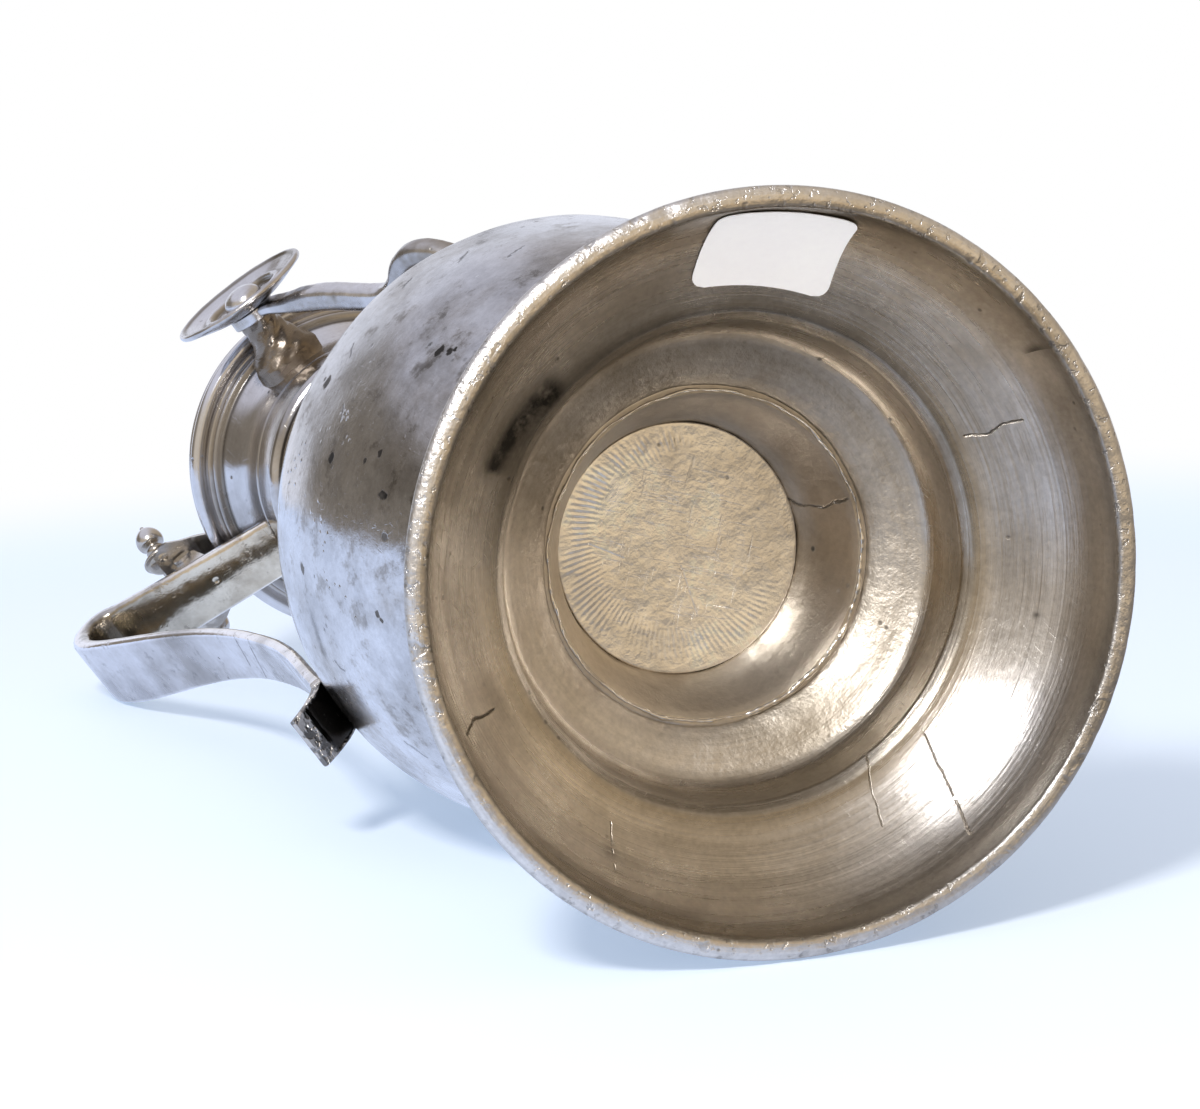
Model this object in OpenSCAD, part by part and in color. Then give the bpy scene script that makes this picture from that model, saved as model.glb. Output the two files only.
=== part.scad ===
// Lidded pewter wine flagon on a tall flared foot, with a fixed strap handle,
// a hinged lid with a two-acorn thumbpiece, and a swinging bail on two neck lugs.
// Upright, +Z up. Origin: centre of the plane that the foot rests on.
// +X points to the fixed handle, and the bail turns about a line along Y.

/* [Foot] */
// Outer radius of the foot's rim
foot_r = 65; // [60:0.5:68]
// Width of the flat face under the rim
rim_face_w = 3.8; // [3:0.1:5]
// Radius of the step inside the hollow foot
ridge_r = 41.8; // [40:0.2:43]
// Height of the foot, up to the body
foot_h = 38.6; // [36:0.2:41]

/* [Body] */
// Radius of the recess under the body
ledge_r = 28.5; // [27.5:0.1:29.5]
// Radius of the disc that closes the body's bottom
disc_r = 22.6; // [21:0.1:23.4]
// Height of that disc's lower face
disc_z = 53.8; // [52:0.2:56]
// Radius of the narrow waist above the foot
waist_r = 34; // [33:0.2:36]
// Largest radius of the belly
belly_r = 58.8; // [57.5:0.1:59.5]
// Height of the belly's widest line
belly_z = 112; // [108:0.5:116]
// Wall thickness
wall = 2.2; // [1.8:0.1:2.5]

/* [Neck] */
// Radius of the neck at its groove
neck_r = 28.7; // [28:0.1:29.3]
// Height where the neck joins the belly
neck_z = 236; // [232:0.5:240]
// Height of the mouth's top face
mouth_z = 285.4; // [284:0.2:287]
// Outer radius of the lip
lip_r = 39.4; // [38.5:0.1:40]

/* [Handle] */
// Width of the strap where it leaves the neck
strap_w = 13.6; // [12.5:0.1:14]
// Width of the strap at its bend
strap_bend_w = 17; // [14:0.2:17.6]
// Width of the strap above the belly
strap_low_w = 12; // [11:0.2:13.6]
// Thickness of the strap
strap_t = 3; // [2.6:0.1:3.6]
// Thickness of the strap at its bend
strap_bend_t = 5; // [3:0.1:5.6]
// Reach of the bend's middle line from the axis
handle_reach = 75.6; // [74:0.2:78]

/* [Lid] */
// Radius of the lid's plate
lid_r = 38.8; // [38:0.1:39.2]
// Height of the lid's dome above its edge
lid_dome = 8; // [6:0.2:10]
// Radius of the hinge pin
hinge_pin_r = 1.5; // [1.3:0.05:1.7]
// Distance of the hinge pin from the axis
hinge_x = 45.5; // [45:0.1:46]
// Width of the lever at the hinge
lever_w = 23.6; // [22:0.2:25]
// Length of each acorn of the thumbpiece
acorn_l = 11; // [10:0.2:12]

/* [Bail] */
// Height of the bail's pivot line
pivot_z = 271.4; // [270:0.2:272]
// Distance of the bail's eyes from the middle plane
bail_half = 44.1; // [44:0.1:45]
// Reach of the bail from its pivot line, to the middle of its grip
bail_reach = 78.4; // [77.6:0.2:79]
// Thickness of the bail's flat bar
bail_w = 5.6; // [5:0.1:6]
// Breadth of the bail's flat bar
bail_b = 6.2; // [5.4:0.1:6.6]
// Thickness of the bail's eyes along the pivot line
bail_t = 2.6; // [2.2:0.1:2.8]
// Angle at which the bail hangs on the belly, below the horizontal
bail_rest = 60; // [57:0.5:60]
// Radius of the pivot pins
pivot_pin_r = 2.5; // [2:0.1:2.8]
// Radius of the saucer-shaped pivot discs
button_r = 16.8; // [15:0.2:17.5]

/* [Hidden] */
$fn = 96;

pewter = [0.60, 0.58, 0.57];
pewter_light = [0.70, 0.69, 0.70];
pewter_warm = [0.56, 0.50, 0.42];
pewter_dark = [0.42, 0.40, 0.38];

seat_gap = 0.05;        // soldered and seated joints
running = 0.05;         // radial clearance of pins that turn
side_gap = 0.2;         // beside pieces that turn
rest_gap = 0.3;         // under pieces that rest or swing past
steps = 16;             // points along one curve of a profile
collar_z = mouth_z - 6.2;           // underside of the lip collar
lid_z = mouth_z + rest_gap;         // underside of the lid's edge
mouth_r = lip_r - 8.2;              // bore of the mouth
flare_r = mouth_r + 2.1;            // neck's radius under the collar

// --- curves ---------------------------------------------------------------

// A cubic curve from p0 to p3 whose ends aim at p1 and p2
function curve(p0, p1, p2, p3, n = steps) =
    [for (i = [0:n]) let (t = i / n, u = 1 - t)
        u*u*u*p0 + 3*u*u*t*p1 + 3*u*t*t*p2 + t*t*t*p3];

// An arc about c with radius r, from angle a0 to a1
function arc(c, r, a0, a1, n = 8) =
    [for (i = [0:n]) let (a = a0 + (a1 - a0) * i / n) c + r * [cos(a), sin(a)]];

// A smooth line through key points, n points to each stretch
function spline(k, n = 6) =
    let (last = len(k) - 1)
    concat([for (i = [0:last - 1], j = [0:n - 1])
        let (t = j / n,
             a = k[max(i - 1, 0)], b = k[i], c = k[i + 1], d = k[min(i + 2, last)])
        0.5 * (2*b + (c - a)*t + (2*a - 5*b + 4*c - d)*t*t + (3*b - a - 3*c + d)*t*t*t)],
        [k[last]]);

// The corners of a rounded strip, w wide and t thick
function strip_section(w, t) =
    let (r = t * 0.36)
    [for (q = [[1, 1, 0], [-1, 1, 90], [-1, -1, 180], [1, -1, 270]], a = [0, 45, 90])
        [q[0] * (w / 2 - r) + r * cos(q[2] + a), q[1] * (t / 2 - r) + r * sin(q[2] + a)]];

// A strip swept along path, its width along the vector side
module ribbon(path, side, widths, thicks) {
    n = len(path);
    m = 12;
    points = [for (i = [0:n - 1])
        let (ahead = path[min(i + 1, n - 1)] - path[max(i - 1, 0)],
             up = cross(ahead / norm(ahead), side),
             sec = strip_section(widths[i], thicks[i]))
        for (q = sec) path[i] + q[0] * side + q[1] * up];
    faces = concat(
        [[for (j = [0:m - 1]) j]],
        [[for (j = [m - 1:-1:0]) (n - 1) * m + j]],
        [for (i = [0:n - 2], j = [0:m - 1])
            let (a = i * m + j, b = i * m + (j + 1) % m) [a, a + m, b + m, b]]);
    polyhedron(points, faces);
}

// --- profiles, radius against height --------------------------------------

// Under side of the foot: two hollows with a ridge between them
foot_inside = concat(
    curve([foot_r - rim_face_w, 0.6], [foot_r - rim_face_w - 0.4, 10],
          [ridge_r + 10, 19.2], [ridge_r + 1.2, 21.8]),
    curve([ridge_r, 23.2], [ridge_r - 0.6, 31], [ledge_r + 9.9, 34.2], [ledge_r + 1.8, foot_h]));

// Upper side of the foot: a rolled rim, then the same two steps
foot_outside = concat(
    curve([waist_r + 0.6, foot_h], [ledge_r + 12, foot_h - 1.4],
          [ridge_r + 1.6, 31], [ridge_r + 2.7, 25.4]),
    curve([ridge_r + 3.6, 24.4], [ridge_r + 13, 21.8], [foot_r - 2.4, 14],
          [foot_r - 1.8, 5]),
    arc([foot_r - 2.4, 2.4], 2.4, 60, -60));

belly_low_outside = curve([waist_r, foot_h + 2.4], [waist_r + 12, foot_h + 5],
                          [belly_r, belly_z - 36], [belly_r, belly_z], 24);
belly_low_inside = curve([belly_r - wall, belly_z], [belly_r - wall, belly_z - 35],
                         [waist_r + 11, foot_h + 10], [waist_r - 0.5, foot_h + 8], 24);
belly_up_outside = curve([belly_r, belly_z], [belly_r, belly_z + 15],
                         [neck_r + 9.4, belly_z + 58], [neck_r - 0.1, neck_z], 28);
belly_up_inside = curve([neck_r - 0.1 - wall, neck_z], [neck_r + 7.2, belly_z + 57],
                        [belly_r - wall, belly_z + 14], [belly_r - wall, belly_z], 28);

groove_z = collar_z - 19.6;

// Outside of the neck: bead, fillets, plain band, groove and a hollow flare
neck_outside = concat(
    [[neck_r + 0.4, neck_z]],
    arc([neck_r + 0.4, neck_z + 3.4], 2, -80, 80),
    [[neck_r + 0.3, neck_z + 6.6], [neck_r + 1.2, neck_z + 7.2], [neck_r + 1.2, neck_z + 9],
     [neck_r + 0.5, neck_z + 9.6]],
    curve([neck_r + 0.5, neck_z + 10.6], [neck_r + 0.9, neck_z + 14],
          [neck_r + 0.9, groove_z - 4], [neck_r + 0.5, groove_z - 1.2], 8),
    arc([neck_r + 0.5, groove_z], 0.8, 260, 100),
    curve([neck_r + 0.4, groove_z + 1.2], [neck_r, collar_z - 9],
          [flare_r - 1.6, collar_z - 6], [flare_r, collar_z - 1.8], 12),
    [[flare_r + 1.7, collar_z - 1.5], [flare_r + 1.9, collar_z - 0.9], [flare_r + 1.7, collar_z]]);

neck_inside = curve([mouth_r, collar_z], [mouth_r - 3.6, collar_z - 9],
                    [neck_r - 0.1 - wall, groove_z], [neck_r - 0.1 - wall, neck_z], 14);

// --- vessel ---------------------------------------------------------------

module foot() {
    color(pewter_warm)
        rotate_extrude()
            polygon(concat([[foot_r - rim_face_w, 0]], foot_inside, foot_outside, [[foot_r - 1.2, 0]]));
}

module vessel_bottom() {
    color(pewter_light)
        translate([0, 0, disc_z])
            cylinder(r = disc_r, h = wall);
}

module belly_lower() {
    floor_z = disc_z + wall;
    color(pewter)
        rotate_extrude()
            polygon(concat(
                [[ledge_r, foot_h], [waist_r - 0.4, foot_h]],
                belly_low_outside, belly_low_inside,
                [[ledge_r + 1, foot_h + 8], [disc_r + wall + 0.6, floor_z],
                 [disc_r + seat_gap, floor_z], [disc_r + seat_gap, disc_z]],
                curve([disc_r + 0.4, disc_z - 0.3], [disc_r + 1, disc_z - 6],
                      [ledge_r - 1.6, foot_h + 5], [ledge_r, foot_h + 0.8], 8)));
}

module belly_upper() {
    color(pewter)
        rotate_extrude()
            polygon(concat(belly_up_outside, belly_up_inside));
}

module neck() {
    color(pewter_light)
        rotate_extrude()
            polygon(concat(neck_outside, neck_inside));
}

module lip_collar() {
    color(pewter_light)
        rotate_extrude()
            polygon(concat(
                [[mouth_r, collar_z], [flare_r + 1.2, collar_z], [flare_r + 1.5, collar_z + 0.9]],
                curve([flare_r + 1.9, collar_z + 1.4], [flare_r + 2.4, collar_z + 2],
                      [lip_r - 3, collar_z + 1.4], [lip_r - 1.9, collar_z + 1.3], 6),
                arc([lip_r - 1.9, collar_z + 3.2], 1.9, -80, 80),
                [[lip_r - 2.6, mouth_z], [mouth_r, mouth_z]]));
}

// Everything inside the outer skin of the neck and belly, used to fit pieces to it
module vessel_envelope() {
    rotate_extrude()
        polygon(concat([[0, belly_z]], belly_up_outside, neck_outside,
                       [[lip_r, collar_z], [lip_r, mouth_z], [0, mouth_z]]));
}

// --- fixed handle ---------------------------------------------------------

// The strap rises straight from the neck, turns tightly, and comes down to the belly
ramp_slope = 0.755;                      // rise of the upper arm per unit of reach
ramp_x = handle_reach - 11.6;
ramp_z = ramp_height(ramp_x);
low_z = ramp_z - 12.5;                   // where the bend ends
root_depth = 1.5;                        // how far the strap's root sinks into the neck before it is trimmed
root = [neck_r - root_depth, ramp_height(neck_r - root_depth)];
tail_root = [belly_r - 1.1, belly_z + 13];
strap_line = concat(
    [for (i = [0:5]) root + ([ramp_x, ramp_z] - root) * i / 6],
    curve([ramp_x, ramp_z], [ramp_x + 4.5, ramp_z + 3.4],
          [handle_reach - 0.4, ramp_z + 2.1], [handle_reach + 0.4, ramp_z - 8.5], 14),
    curve([handle_reach + 0.6, low_z], [handle_reach - 0.5, low_z - 22],
          [handle_reach - 18, low_z - 46], [handle_reach - 20.6, low_z - 92], 22),
    curve([handle_reach - 20.9, low_z - 97], [handle_reach - 22.4, low_z - 122],
          tail_root + [-1.4, 22], tail_root, 12));

// Height of the upper arm's middle line at reach x: it meets the neck below the collar
function ramp_height(x) = mouth_z - 19.9 + (x - neck_r) * ramp_slope;

// Ease from a to b while i runs from i0 to i1
function ease(i, i0, i1, a, b) =
    let (t = max(0, min(1, (i - i0) / (i1 - i0)))) a + (b - a) * t * t * (3 - 2 * t);

// Width and thickness at each point of the line: neck, bend, then the lower arm
function strap_width(i) =
    i < 18 ? ease(i, 0, 12, strap_w, strap_bend_w) : ease(i, 24, 44, strap_bend_w, strap_low_w);
function strap_thick(i) =
    i < 14 ? ease(i, 4.5, 11, strap_t, strap_bend_t) : ease(i, 17, 26, strap_bend_t, strap_t);

module handle_strap() {
    n = len(strap_line);
    color(pewter)
        difference() {
            ribbon([for (p = strap_line) [p[0], 0, p[1]]], [0, 1, 0],
                   [for (i = [0:n - 1]) strap_width(i)],
                   [for (i = [0:n - 1]) strap_thick(i)]);
            vessel_envelope();
        }
}

// Lower end of the strap, flared away from the belly to a bevelled tip
module handle_tail() {
    line = curve(tail_root + [0, -0.12], tail_root + [0.3, -4.6], tail_root + [5, -9.4],
                 tail_root + [9.6, -11.8], 10);
    n = len(line);
    tip_w = strap_low_w - 0.8;
    color(pewter_dark)
        difference() {
            ribbon([for (p = line) [p[0], 0, p[1]]], [0, 1, 0],
                   [for (i = [0:n - 1]) strap_low_w + (tip_w - strap_low_w) * i / (n - 1)],
                   [for (i = [0:n - 1]) strap_t - (strap_t - 1.5) * i / (n - 1)]);
            rotate_extrude()
                polygon(concat([[0, foot_h]], belly_low_outside, belly_up_outside, [[0, neck_z]]));
        }
}

// --- lid hinge ------------------------------------------------------------

hinge_z = mouth_z + 2.6;
knuckle_r = 3.3;
knuckle_w = 7.6;                         // lid's knuckle, along the pin
cheek_w = 2.8;
cheek_y = knuckle_w / 2 + side_gap;

// Height of the strap's upper face above reach x
function strap_top(x) =
    ramp_height(x) + (strap_t / 2 + seat_gap) * sqrt(1 + ramp_slope * ramp_slope);

// Two cheeks that stand on the strap and hold the pin
module hinge_base() {
    left = hinge_x - knuckle_r;
    right = hinge_x + knuckle_r;
    color(pewter)
        difference() {
            for (s = [-1, 1])
                translate([0, s * (cheek_y + cheek_w / 2) + cheek_w / 2, 0])
                    rotate([90, 0, 0])
                        linear_extrude(cheek_w)
                            union() {
                                translate([hinge_x, hinge_z])
                                    circle(r = knuckle_r);
                                polygon([[left, hinge_z], [left, strap_top(left)],
                                         [right, strap_top(right)], [right, hinge_z]]);
                            }
            translate([hinge_x, 20, hinge_z])
                rotate([90, 0, 0])
                    cylinder(r = hinge_pin_r + 0.02, h = 40);
        }
    color(pewter)
        translate([0, cheek_y + seat_gap, 0])
            rotate([90, 0, 0])
                linear_extrude(2 * (cheek_y + seat_gap))
                    polygon([[left, strap_top(left)], [right, strap_top(right)],
                             [right, strap_top(right) + 1.2], [left, strap_top(left) + 1.2]]);
}

module hinge_pin() {
    reach = cheek_y + cheek_w;
    color(pewter_dark)
        translate([hinge_x, 0, hinge_z])
            rotate([90, 0, 0]) {
                cylinder(r = hinge_pin_r, h = 2 * reach + 0.1, center = true);
                for (s = [-1, 1])
                    translate([0, 0, s * (reach + 0.4)])
                        cylinder(r = hinge_pin_r + 0.8, h = 0.7, center = true);
            }
}

// --- lid ------------------------------------------------------------------

lid_flat_z = lid_z + 2.7;                // flat ring around the dome
dome_r = lid_r - 7.6;

module lid_plate() {
    color(pewter_light)
        rotate_extrude()
            polygon(concat(
                [[0, lid_z + lid_dome - 1.6]],
                curve([0, lid_z + lid_dome - 1.6], [dome_r * 0.5, lid_z + lid_dome - 1.6],
                      [dome_r - 4, lid_z + 2.6], [dome_r - 3, lid_z], 10),
                [[lid_r - 0.8, lid_z]],
                arc([lid_r - 1.1, lid_z + 1.1], 1.1, -60, 80, 6),
                [[lid_r - 2.4, lid_flat_z], [dome_r, lid_flat_z], [dome_r - 0.6, lid_flat_z + 1.6]],
                curve([dome_r - 2.2, lid_flat_z + 1.9], [dome_r - 8, lid_flat_z + 3],
                      [dome_r * 0.4, lid_z + lid_dome + 1.4], [0, lid_z + lid_dome + 1.4], 12)));
}

// Ring under the lid that centres it in the mouth
module lid_bezel() {
    color(pewter_warm)
        translate([0, 0, lid_z - 3.2])
            difference() {
                cylinder(r = mouth_r - 0.6, h = 3.2);
                translate([0, 0, -1])
                    cylinder(r = mouth_r - 2.4, h = 6);
            }
}

lever_z = hinge_z + knuckle_r + rest_gap;
lever_t = 2.2;
bar_x = hinge_x + 3.2;
bar_y = 8.2;                             // centre of each acorn's flange
bar_z = lever_z + 3.2;
end_of_lever = bar_x + 1.7;

// Wide tongue from the lid to the hinge, with the knuckle under it
module lid_lever() {
    root_x = dome_r + 0.3;
    end_x = end_of_lever;
    edge = [[root_x, lever_w / 2 - 5.2], [lid_r - 2, lever_w / 2 - 4.4], [lid_r + 4, lever_w / 2 - 2],
            [bar_x - 3, lever_w / 2 - 0.4], [bar_x - 1, lever_w / 2], [end_x, lever_w / 2 - 1.4]];
    color(pewter)
        difference() {
            union() {
                intersection() {
                    translate([0, 20, 0])
                        rotate([90, 0, 0])
                            linear_extrude(40)
                                polygon([[root_x, lid_flat_z], [lid_r - 2.6, lid_flat_z],
                                         [lid_r + 1.8, lever_z], [end_x, lever_z],
                                         [end_x, lever_z + lever_t], [lid_r + 0.6, lever_z + lever_t],
                                         [lid_r - 3, lid_flat_z + 2.6], [root_x, lid_flat_z + 2]]);
                    linear_extrude(lever_z + 10)
                        polygon(concat(edge, [for (i = [len(edge) - 1:-1:0]) [edge[i][0], -edge[i][1]]]));
                }
                translate([hinge_x, knuckle_w / 2, hinge_z])
                    rotate([90, 0, 0])
                        cylinder(r = knuckle_r, h = knuckle_w);
                translate([hinge_x - 1.8, -knuckle_w / 2, hinge_z])
                    cube([3.6, knuckle_w, lever_z - hinge_z + 0.5]);
            }
            translate([hinge_x, 20, hinge_z])
                rotate([90, 0, 0])
                    cylinder(r = hinge_pin_r + running, h = 40);
            for (side = [-1, 1])
                acorn_body(side);
        }
}

// Round bar on a short post, which carries the two acorns
module thumb_bar() {
    color(pewter)
        difference() {
            union() {
                translate([bar_x, bar_y - 1, bar_z])
                    rotate([90, 0, 0])
                        cylinder(r = 1.9, h = 2 * bar_y - 2);
                translate([bar_x - 1.7, -4.2, lever_z + lever_t])
                    cube([3.4, 8.4, bar_z - lever_z - lever_t]);
            }
            translate([0, -bar_y - 5, lever_z - 5])
                cube([end_of_lever + 1, 2 * bar_y + 10, 5 + lever_t]);
            for (side = [-1, 1])
                acorn_body(side);
        }
}

// Acorn in its cup: rounded back, flange, waist, bead and pointed nut, turned about its own axis
module acorn_body(side) {
    lean = 45.7;
    tilt = 8.3;
    translate([bar_x, side * bar_y, bar_z])
        rotate([-side * lean, 0, 0])
            rotate([0, -tilt, 0])
                rotate_extrude()
                    polygon(concat(
                        [[0, -2.5]],
                        curve([1, -2.5], [2.6, -2.4], [3.6, -1.4], [3.9, -0.4], 5),
                        arc([4, 0.3], 0.5, -60, 80, 4),
                        [[2.4, 1], [1.6, 1.6]],
                        arc([1.3, 2.9], 1.2, -60, 60, 5),
                        [[1.4, 4.2], [1.5, 4.6]],
                        curve([2.9, 5], [3.9, 6.6], [2.9, 9], [0.7, acorn_l - 0.9], 8),
                        arc([0, acorn_l - 0.6], 0.6, 0, 90, 3)));
}

module acorn(side) {
    color(pewter_light)
        acorn_body(side);
}

module acorn_left() { acorn(1); }
module acorn_right() { acorn(-1); }

// --- bail -----------------------------------------------------------------

lug_y = bail_half - bail_t / 2 - side_gap;             // outer face of each lug
button_y = bail_half + bail_t / 2 + side_gap;          // back face of each disc
eye_r = 5.6;

// A shape turned about the pivot line, on one side
module about_pivot(side) {
    translate([0, 0, pivot_z])
        rotate([-90 * side, 0, 0])
            children();
}

// Waisted lug, flat above and below, fitted to the neck
module bail_lug(side) {
    color(pewter_warm)
        difference() {
            intersection() {
                about_pivot(side)
                    rotate_extrude()
                        polygon(concat([[0, neck_r - 6], [11.2, neck_r - 6]],
                            curve([11.2, lug_y - 7], [10.4, lug_y - 2.6], [5.6, lug_y - 2.8],
                                  [4.6, lug_y], 10),
                            [[0, lug_y]]));
                translate([-20, side > 0 ? 0 : -60, pivot_z - 7.4])
                    cube([40, 60, 14.8]);
            }
            vessel_envelope();
            about_pivot(side)
                translate([0, 0, lug_y - 6])
                    cylinder(r = pivot_pin_r + 0.02, h = 10);
        }
}

module bail_lug_left() { bail_lug(1); }
module bail_lug_right() { bail_lug(-1); }

module bail_pin(side) {
    color(pewter_dark)
        about_pivot(side)
            translate([0, 0, lug_y - 5.9])
                cylinder(r = pivot_pin_r, h = button_y - lug_y + 5.9);
}

module bail_pin_left() { bail_pin(1); }
module bail_pin_right() { bail_pin(-1); }

// Saucer-shaped head of a pivot: dished plate, ring, and a domed boss
module bail_disc(side) {
    color(pewter_light)
        about_pivot(side)
            translate([0, 0, button_y])
                rotate_extrude()
                    polygon(concat(
                        [[0, 0], [5, 0]],
                        curve([6, 0.1], [10, 0.6], [13, 2], [button_r - 0.7, 3], 8),
                        arc([button_r - 0.8, 3.7], 0.75, -60, 120, 6),
                        curve([button_r - 1.6, 4], [13, 3.2], [12, 2.6], [10.6, 2.3], 6),
                        arc([9.6, 2.3], 0.9, 20, 160, 6),
                        [[8.2, 1.7], [5.4, 1.6]],
                        curve([4.8, 2], [4.8, 4.8], [3, 6.4], [0, 6.6], 8)));
}

module bail_disc_left() { bail_disc(1); }
module bail_disc_right() { bail_disc(-1); }

// Half of the bail's middle line in its own plane: distance from the pivot line, distance from
// the middle, share of the full breadth. The arm leans in above the belly, bows out again and
// turns into the grip.
bail_half_line = [
    [2, bail_half, 0], [7, bail_half - 0.1, 0.05], [12.5, bail_half - 1.4, 0.4],
    [18, bail_half - 2.4, 0.85], [24, bail_half - 3.9, 1], [30, bail_half - 6, 1],
    [36, bail_half - 8.4, 0.95], [41.6, bail_half - 9.7, 0.85], [46.6, bail_half - 8.4, 0.9],
    [50.6, bail_half - 5.6, 1], [55.4, bail_half - 4.1, 1], [60.4, bail_half - 5, 1],
    [bail_reach - 13, bail_half - 8.4, 1], [bail_reach - 7.4, bail_half - 15, 1],
    [bail_reach - 3, bail_half - 24, 1], [bail_reach - 0.6, bail_half - 34, 1], [bail_reach, 0, 1]];
bail_dir = [-cos(bail_rest), 0, -sin(bail_rest)];
bail_side = [sin(bail_rest), 0, -cos(bail_rest)];

module bail_strap() {
    half = spline(bail_half_line, 5);
    n = len(half);
    line = concat(half, [for (i = [n - 2:-1:0]) [half[i][0], -half[i][1], half[i][2]]]);
    path = [for (p = line) [0, p[1], pivot_z] + p[0] * bail_dir];
    color(pewter)
        difference() {
            union() {
                ribbon(path, bail_side, [for (p = line) bail_w],
                       [for (p = line) bail_t + (bail_b - bail_t) * p[2]]);
                for (s = [-1, 1])
                    about_pivot(s)
                        translate([0, 0, bail_half - bail_t / 2])
                            cylinder(r = eye_r, h = bail_t);
            }
            for (s = [-1, 1])
                about_pivot(s)
                    translate([0, 0, bail_half - 4])
                        cylinder(r = pivot_pin_r + running, h = 8);
        }
}

// --- pieces ---------------------------------------------------------------

foot();
vessel_bottom();
belly_lower();
belly_upper();
neck();
lip_collar();
handle_strap();
handle_tail();
hinge_base();
hinge_pin();
lid_plate();
lid_bezel();
lid_lever();
thumb_bar();
acorn_left();
acorn_right();
bail_lug_left();
bail_lug_right();
bail_pin_left();
bail_pin_right();
bail_disc_left();
bail_disc_right();
bail_strap();
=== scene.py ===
import math
import bpy
import numpy as np
from mathutils import Matrix, Vector


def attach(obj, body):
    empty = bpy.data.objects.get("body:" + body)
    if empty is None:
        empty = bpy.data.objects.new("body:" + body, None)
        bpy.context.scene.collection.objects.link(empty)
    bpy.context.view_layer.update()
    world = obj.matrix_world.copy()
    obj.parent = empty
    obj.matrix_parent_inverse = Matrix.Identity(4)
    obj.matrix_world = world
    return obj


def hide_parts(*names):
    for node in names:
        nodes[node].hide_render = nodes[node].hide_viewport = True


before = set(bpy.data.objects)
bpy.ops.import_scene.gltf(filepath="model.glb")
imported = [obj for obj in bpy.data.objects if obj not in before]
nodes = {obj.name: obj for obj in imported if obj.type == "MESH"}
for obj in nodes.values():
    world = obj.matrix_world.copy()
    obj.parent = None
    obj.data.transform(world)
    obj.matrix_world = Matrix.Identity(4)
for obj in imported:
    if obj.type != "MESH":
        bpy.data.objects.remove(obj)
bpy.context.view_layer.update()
mm = 0.001
sides = ((1, "left"), (-1, "right"))


def bezier(p0, p1, p2, p3, count=48):  # cubic: u^3 p0 + 3u^2t p1 + 3ut^2 p2 + t^3 p3, with u = 1 - t
    t = np.linspace(0, 1, count + 1)[:, None]
    u = 1 - t
    a, b, c, d = (np.asarray(p, float) for p in (p0, p1, p2, p3))
    return u**3 * a + 3 * u * u * t * b + 3 * u * t * t * c + t**3 * d


def arc(centre, radius, start, end, count=20):  # centre + radius times (cos, sin) of the angle
    a = np.radians(np.linspace(start, end, count + 1))
    return np.asarray(centre, float) + radius * np.stack([np.cos(a), np.sin(a)], 1)


def chain(*parts):  # the parts one after another as one point list
    return np.concatenate([np.atleast_2d(np.asarray(p, float)) for p in parts])


def runs(points):  # distance along the line at each point
    return np.concatenate([[0], np.cumsum(np.linalg.norm(np.diff(points, axis=0), axis=1))])


def spread(points, count, closed):  # points at even distances along the line
    p = np.concatenate([points, points[:1]]) if closed else points
    run = runs(p)
    keep = np.concatenate([[True], np.diff(run) > 1e-9])
    at = np.linspace(0, run[-1], count + 1)[:-1] if closed else np.linspace(0, run[-1], count)
    return np.stack([np.interp(at, run[keep], p[keep, k]) for k in range(p.shape[1])], 1)


def worn(points, count, width, closed=True):  # even points, each the average over a Gaussian of that width
    fine = spread(points, count * 4, closed)
    size = np.linalg.norm(np.diff(fine, axis=0), axis=1).mean()
    reach = max(1, int(3 * width / size))
    kernel = np.exp(-0.5 * (np.arange(-reach, reach + 1) * size / width) ** 2)
    kernel /= kernel.sum()
    before, after = fine[-reach:], fine[:reach]
    if not closed:
        before = 2 * fine[0] - fine[1:reach + 1][::-1]
        after = 2 * fine[-1] - fine[-reach - 1:-1][::-1]
    padded = np.concatenate([before, fine, after])
    smooth = np.stack([np.convolve(padded[:, k], kernel, "valid") for k in range(fine.shape[1])], 1)
    return spread(smooth, count, closed)


def wornToAxis(points, count, width, inset):  # worn outline from axis to axis, moved in by inset
    soft = worn(points, count, width, False)
    soft[0], soft[-1] = points[0], points[-1]
    soft[:, 0] = np.maximum(soft[:, 0] - inset, 0)
    return soft


def spline(keys, each=12):  # Catmull-Rom through the keys, each points to a stretch
    k = np.asarray(keys, float)
    t = np.arange(each)[:, None] / each
    rows = []
    for i in range(len(k) - 1):
        a, b, c, d = k[max(i - 1, 0)], k[i], k[i + 1], k[min(i + 2, len(k) - 1)]
        rows.append(0.5 * (2 * b + (c - a) * t + (2 * a - 5 * b + 4 * c - d) * t**2
                           + (3 * b - a - 3 * c + d) * t**3))
    return np.concatenate(rows + [k[-1:]])


def ease(x, x0, x1, a, b):  # a to b by 3t^2 - 2t^3 while x runs from x0 to x1
    t = np.clip((np.asarray(x, float) - x0) / (x1 - x0), 0, 1)
    return a + (b - a) * t * t * (3 - 2 * t)


def lumps(a, b, waves, seed):  # sum of waves of (amount, pitch in a, pitch in b), each with its own phase
    phase = np.random.default_rng(seed).uniform(0, 2 * math.pi, len(waves))
    return sum(w * np.sin(p * a + q * b + f) for (w, p, q), f in zip(waves, phase))


def link(name, data):  # an object of that data in the scene
    made = bpy.data.objects.new(name, data)
    bpy.context.scene.collection.objects.link(made)
    return made


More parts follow.
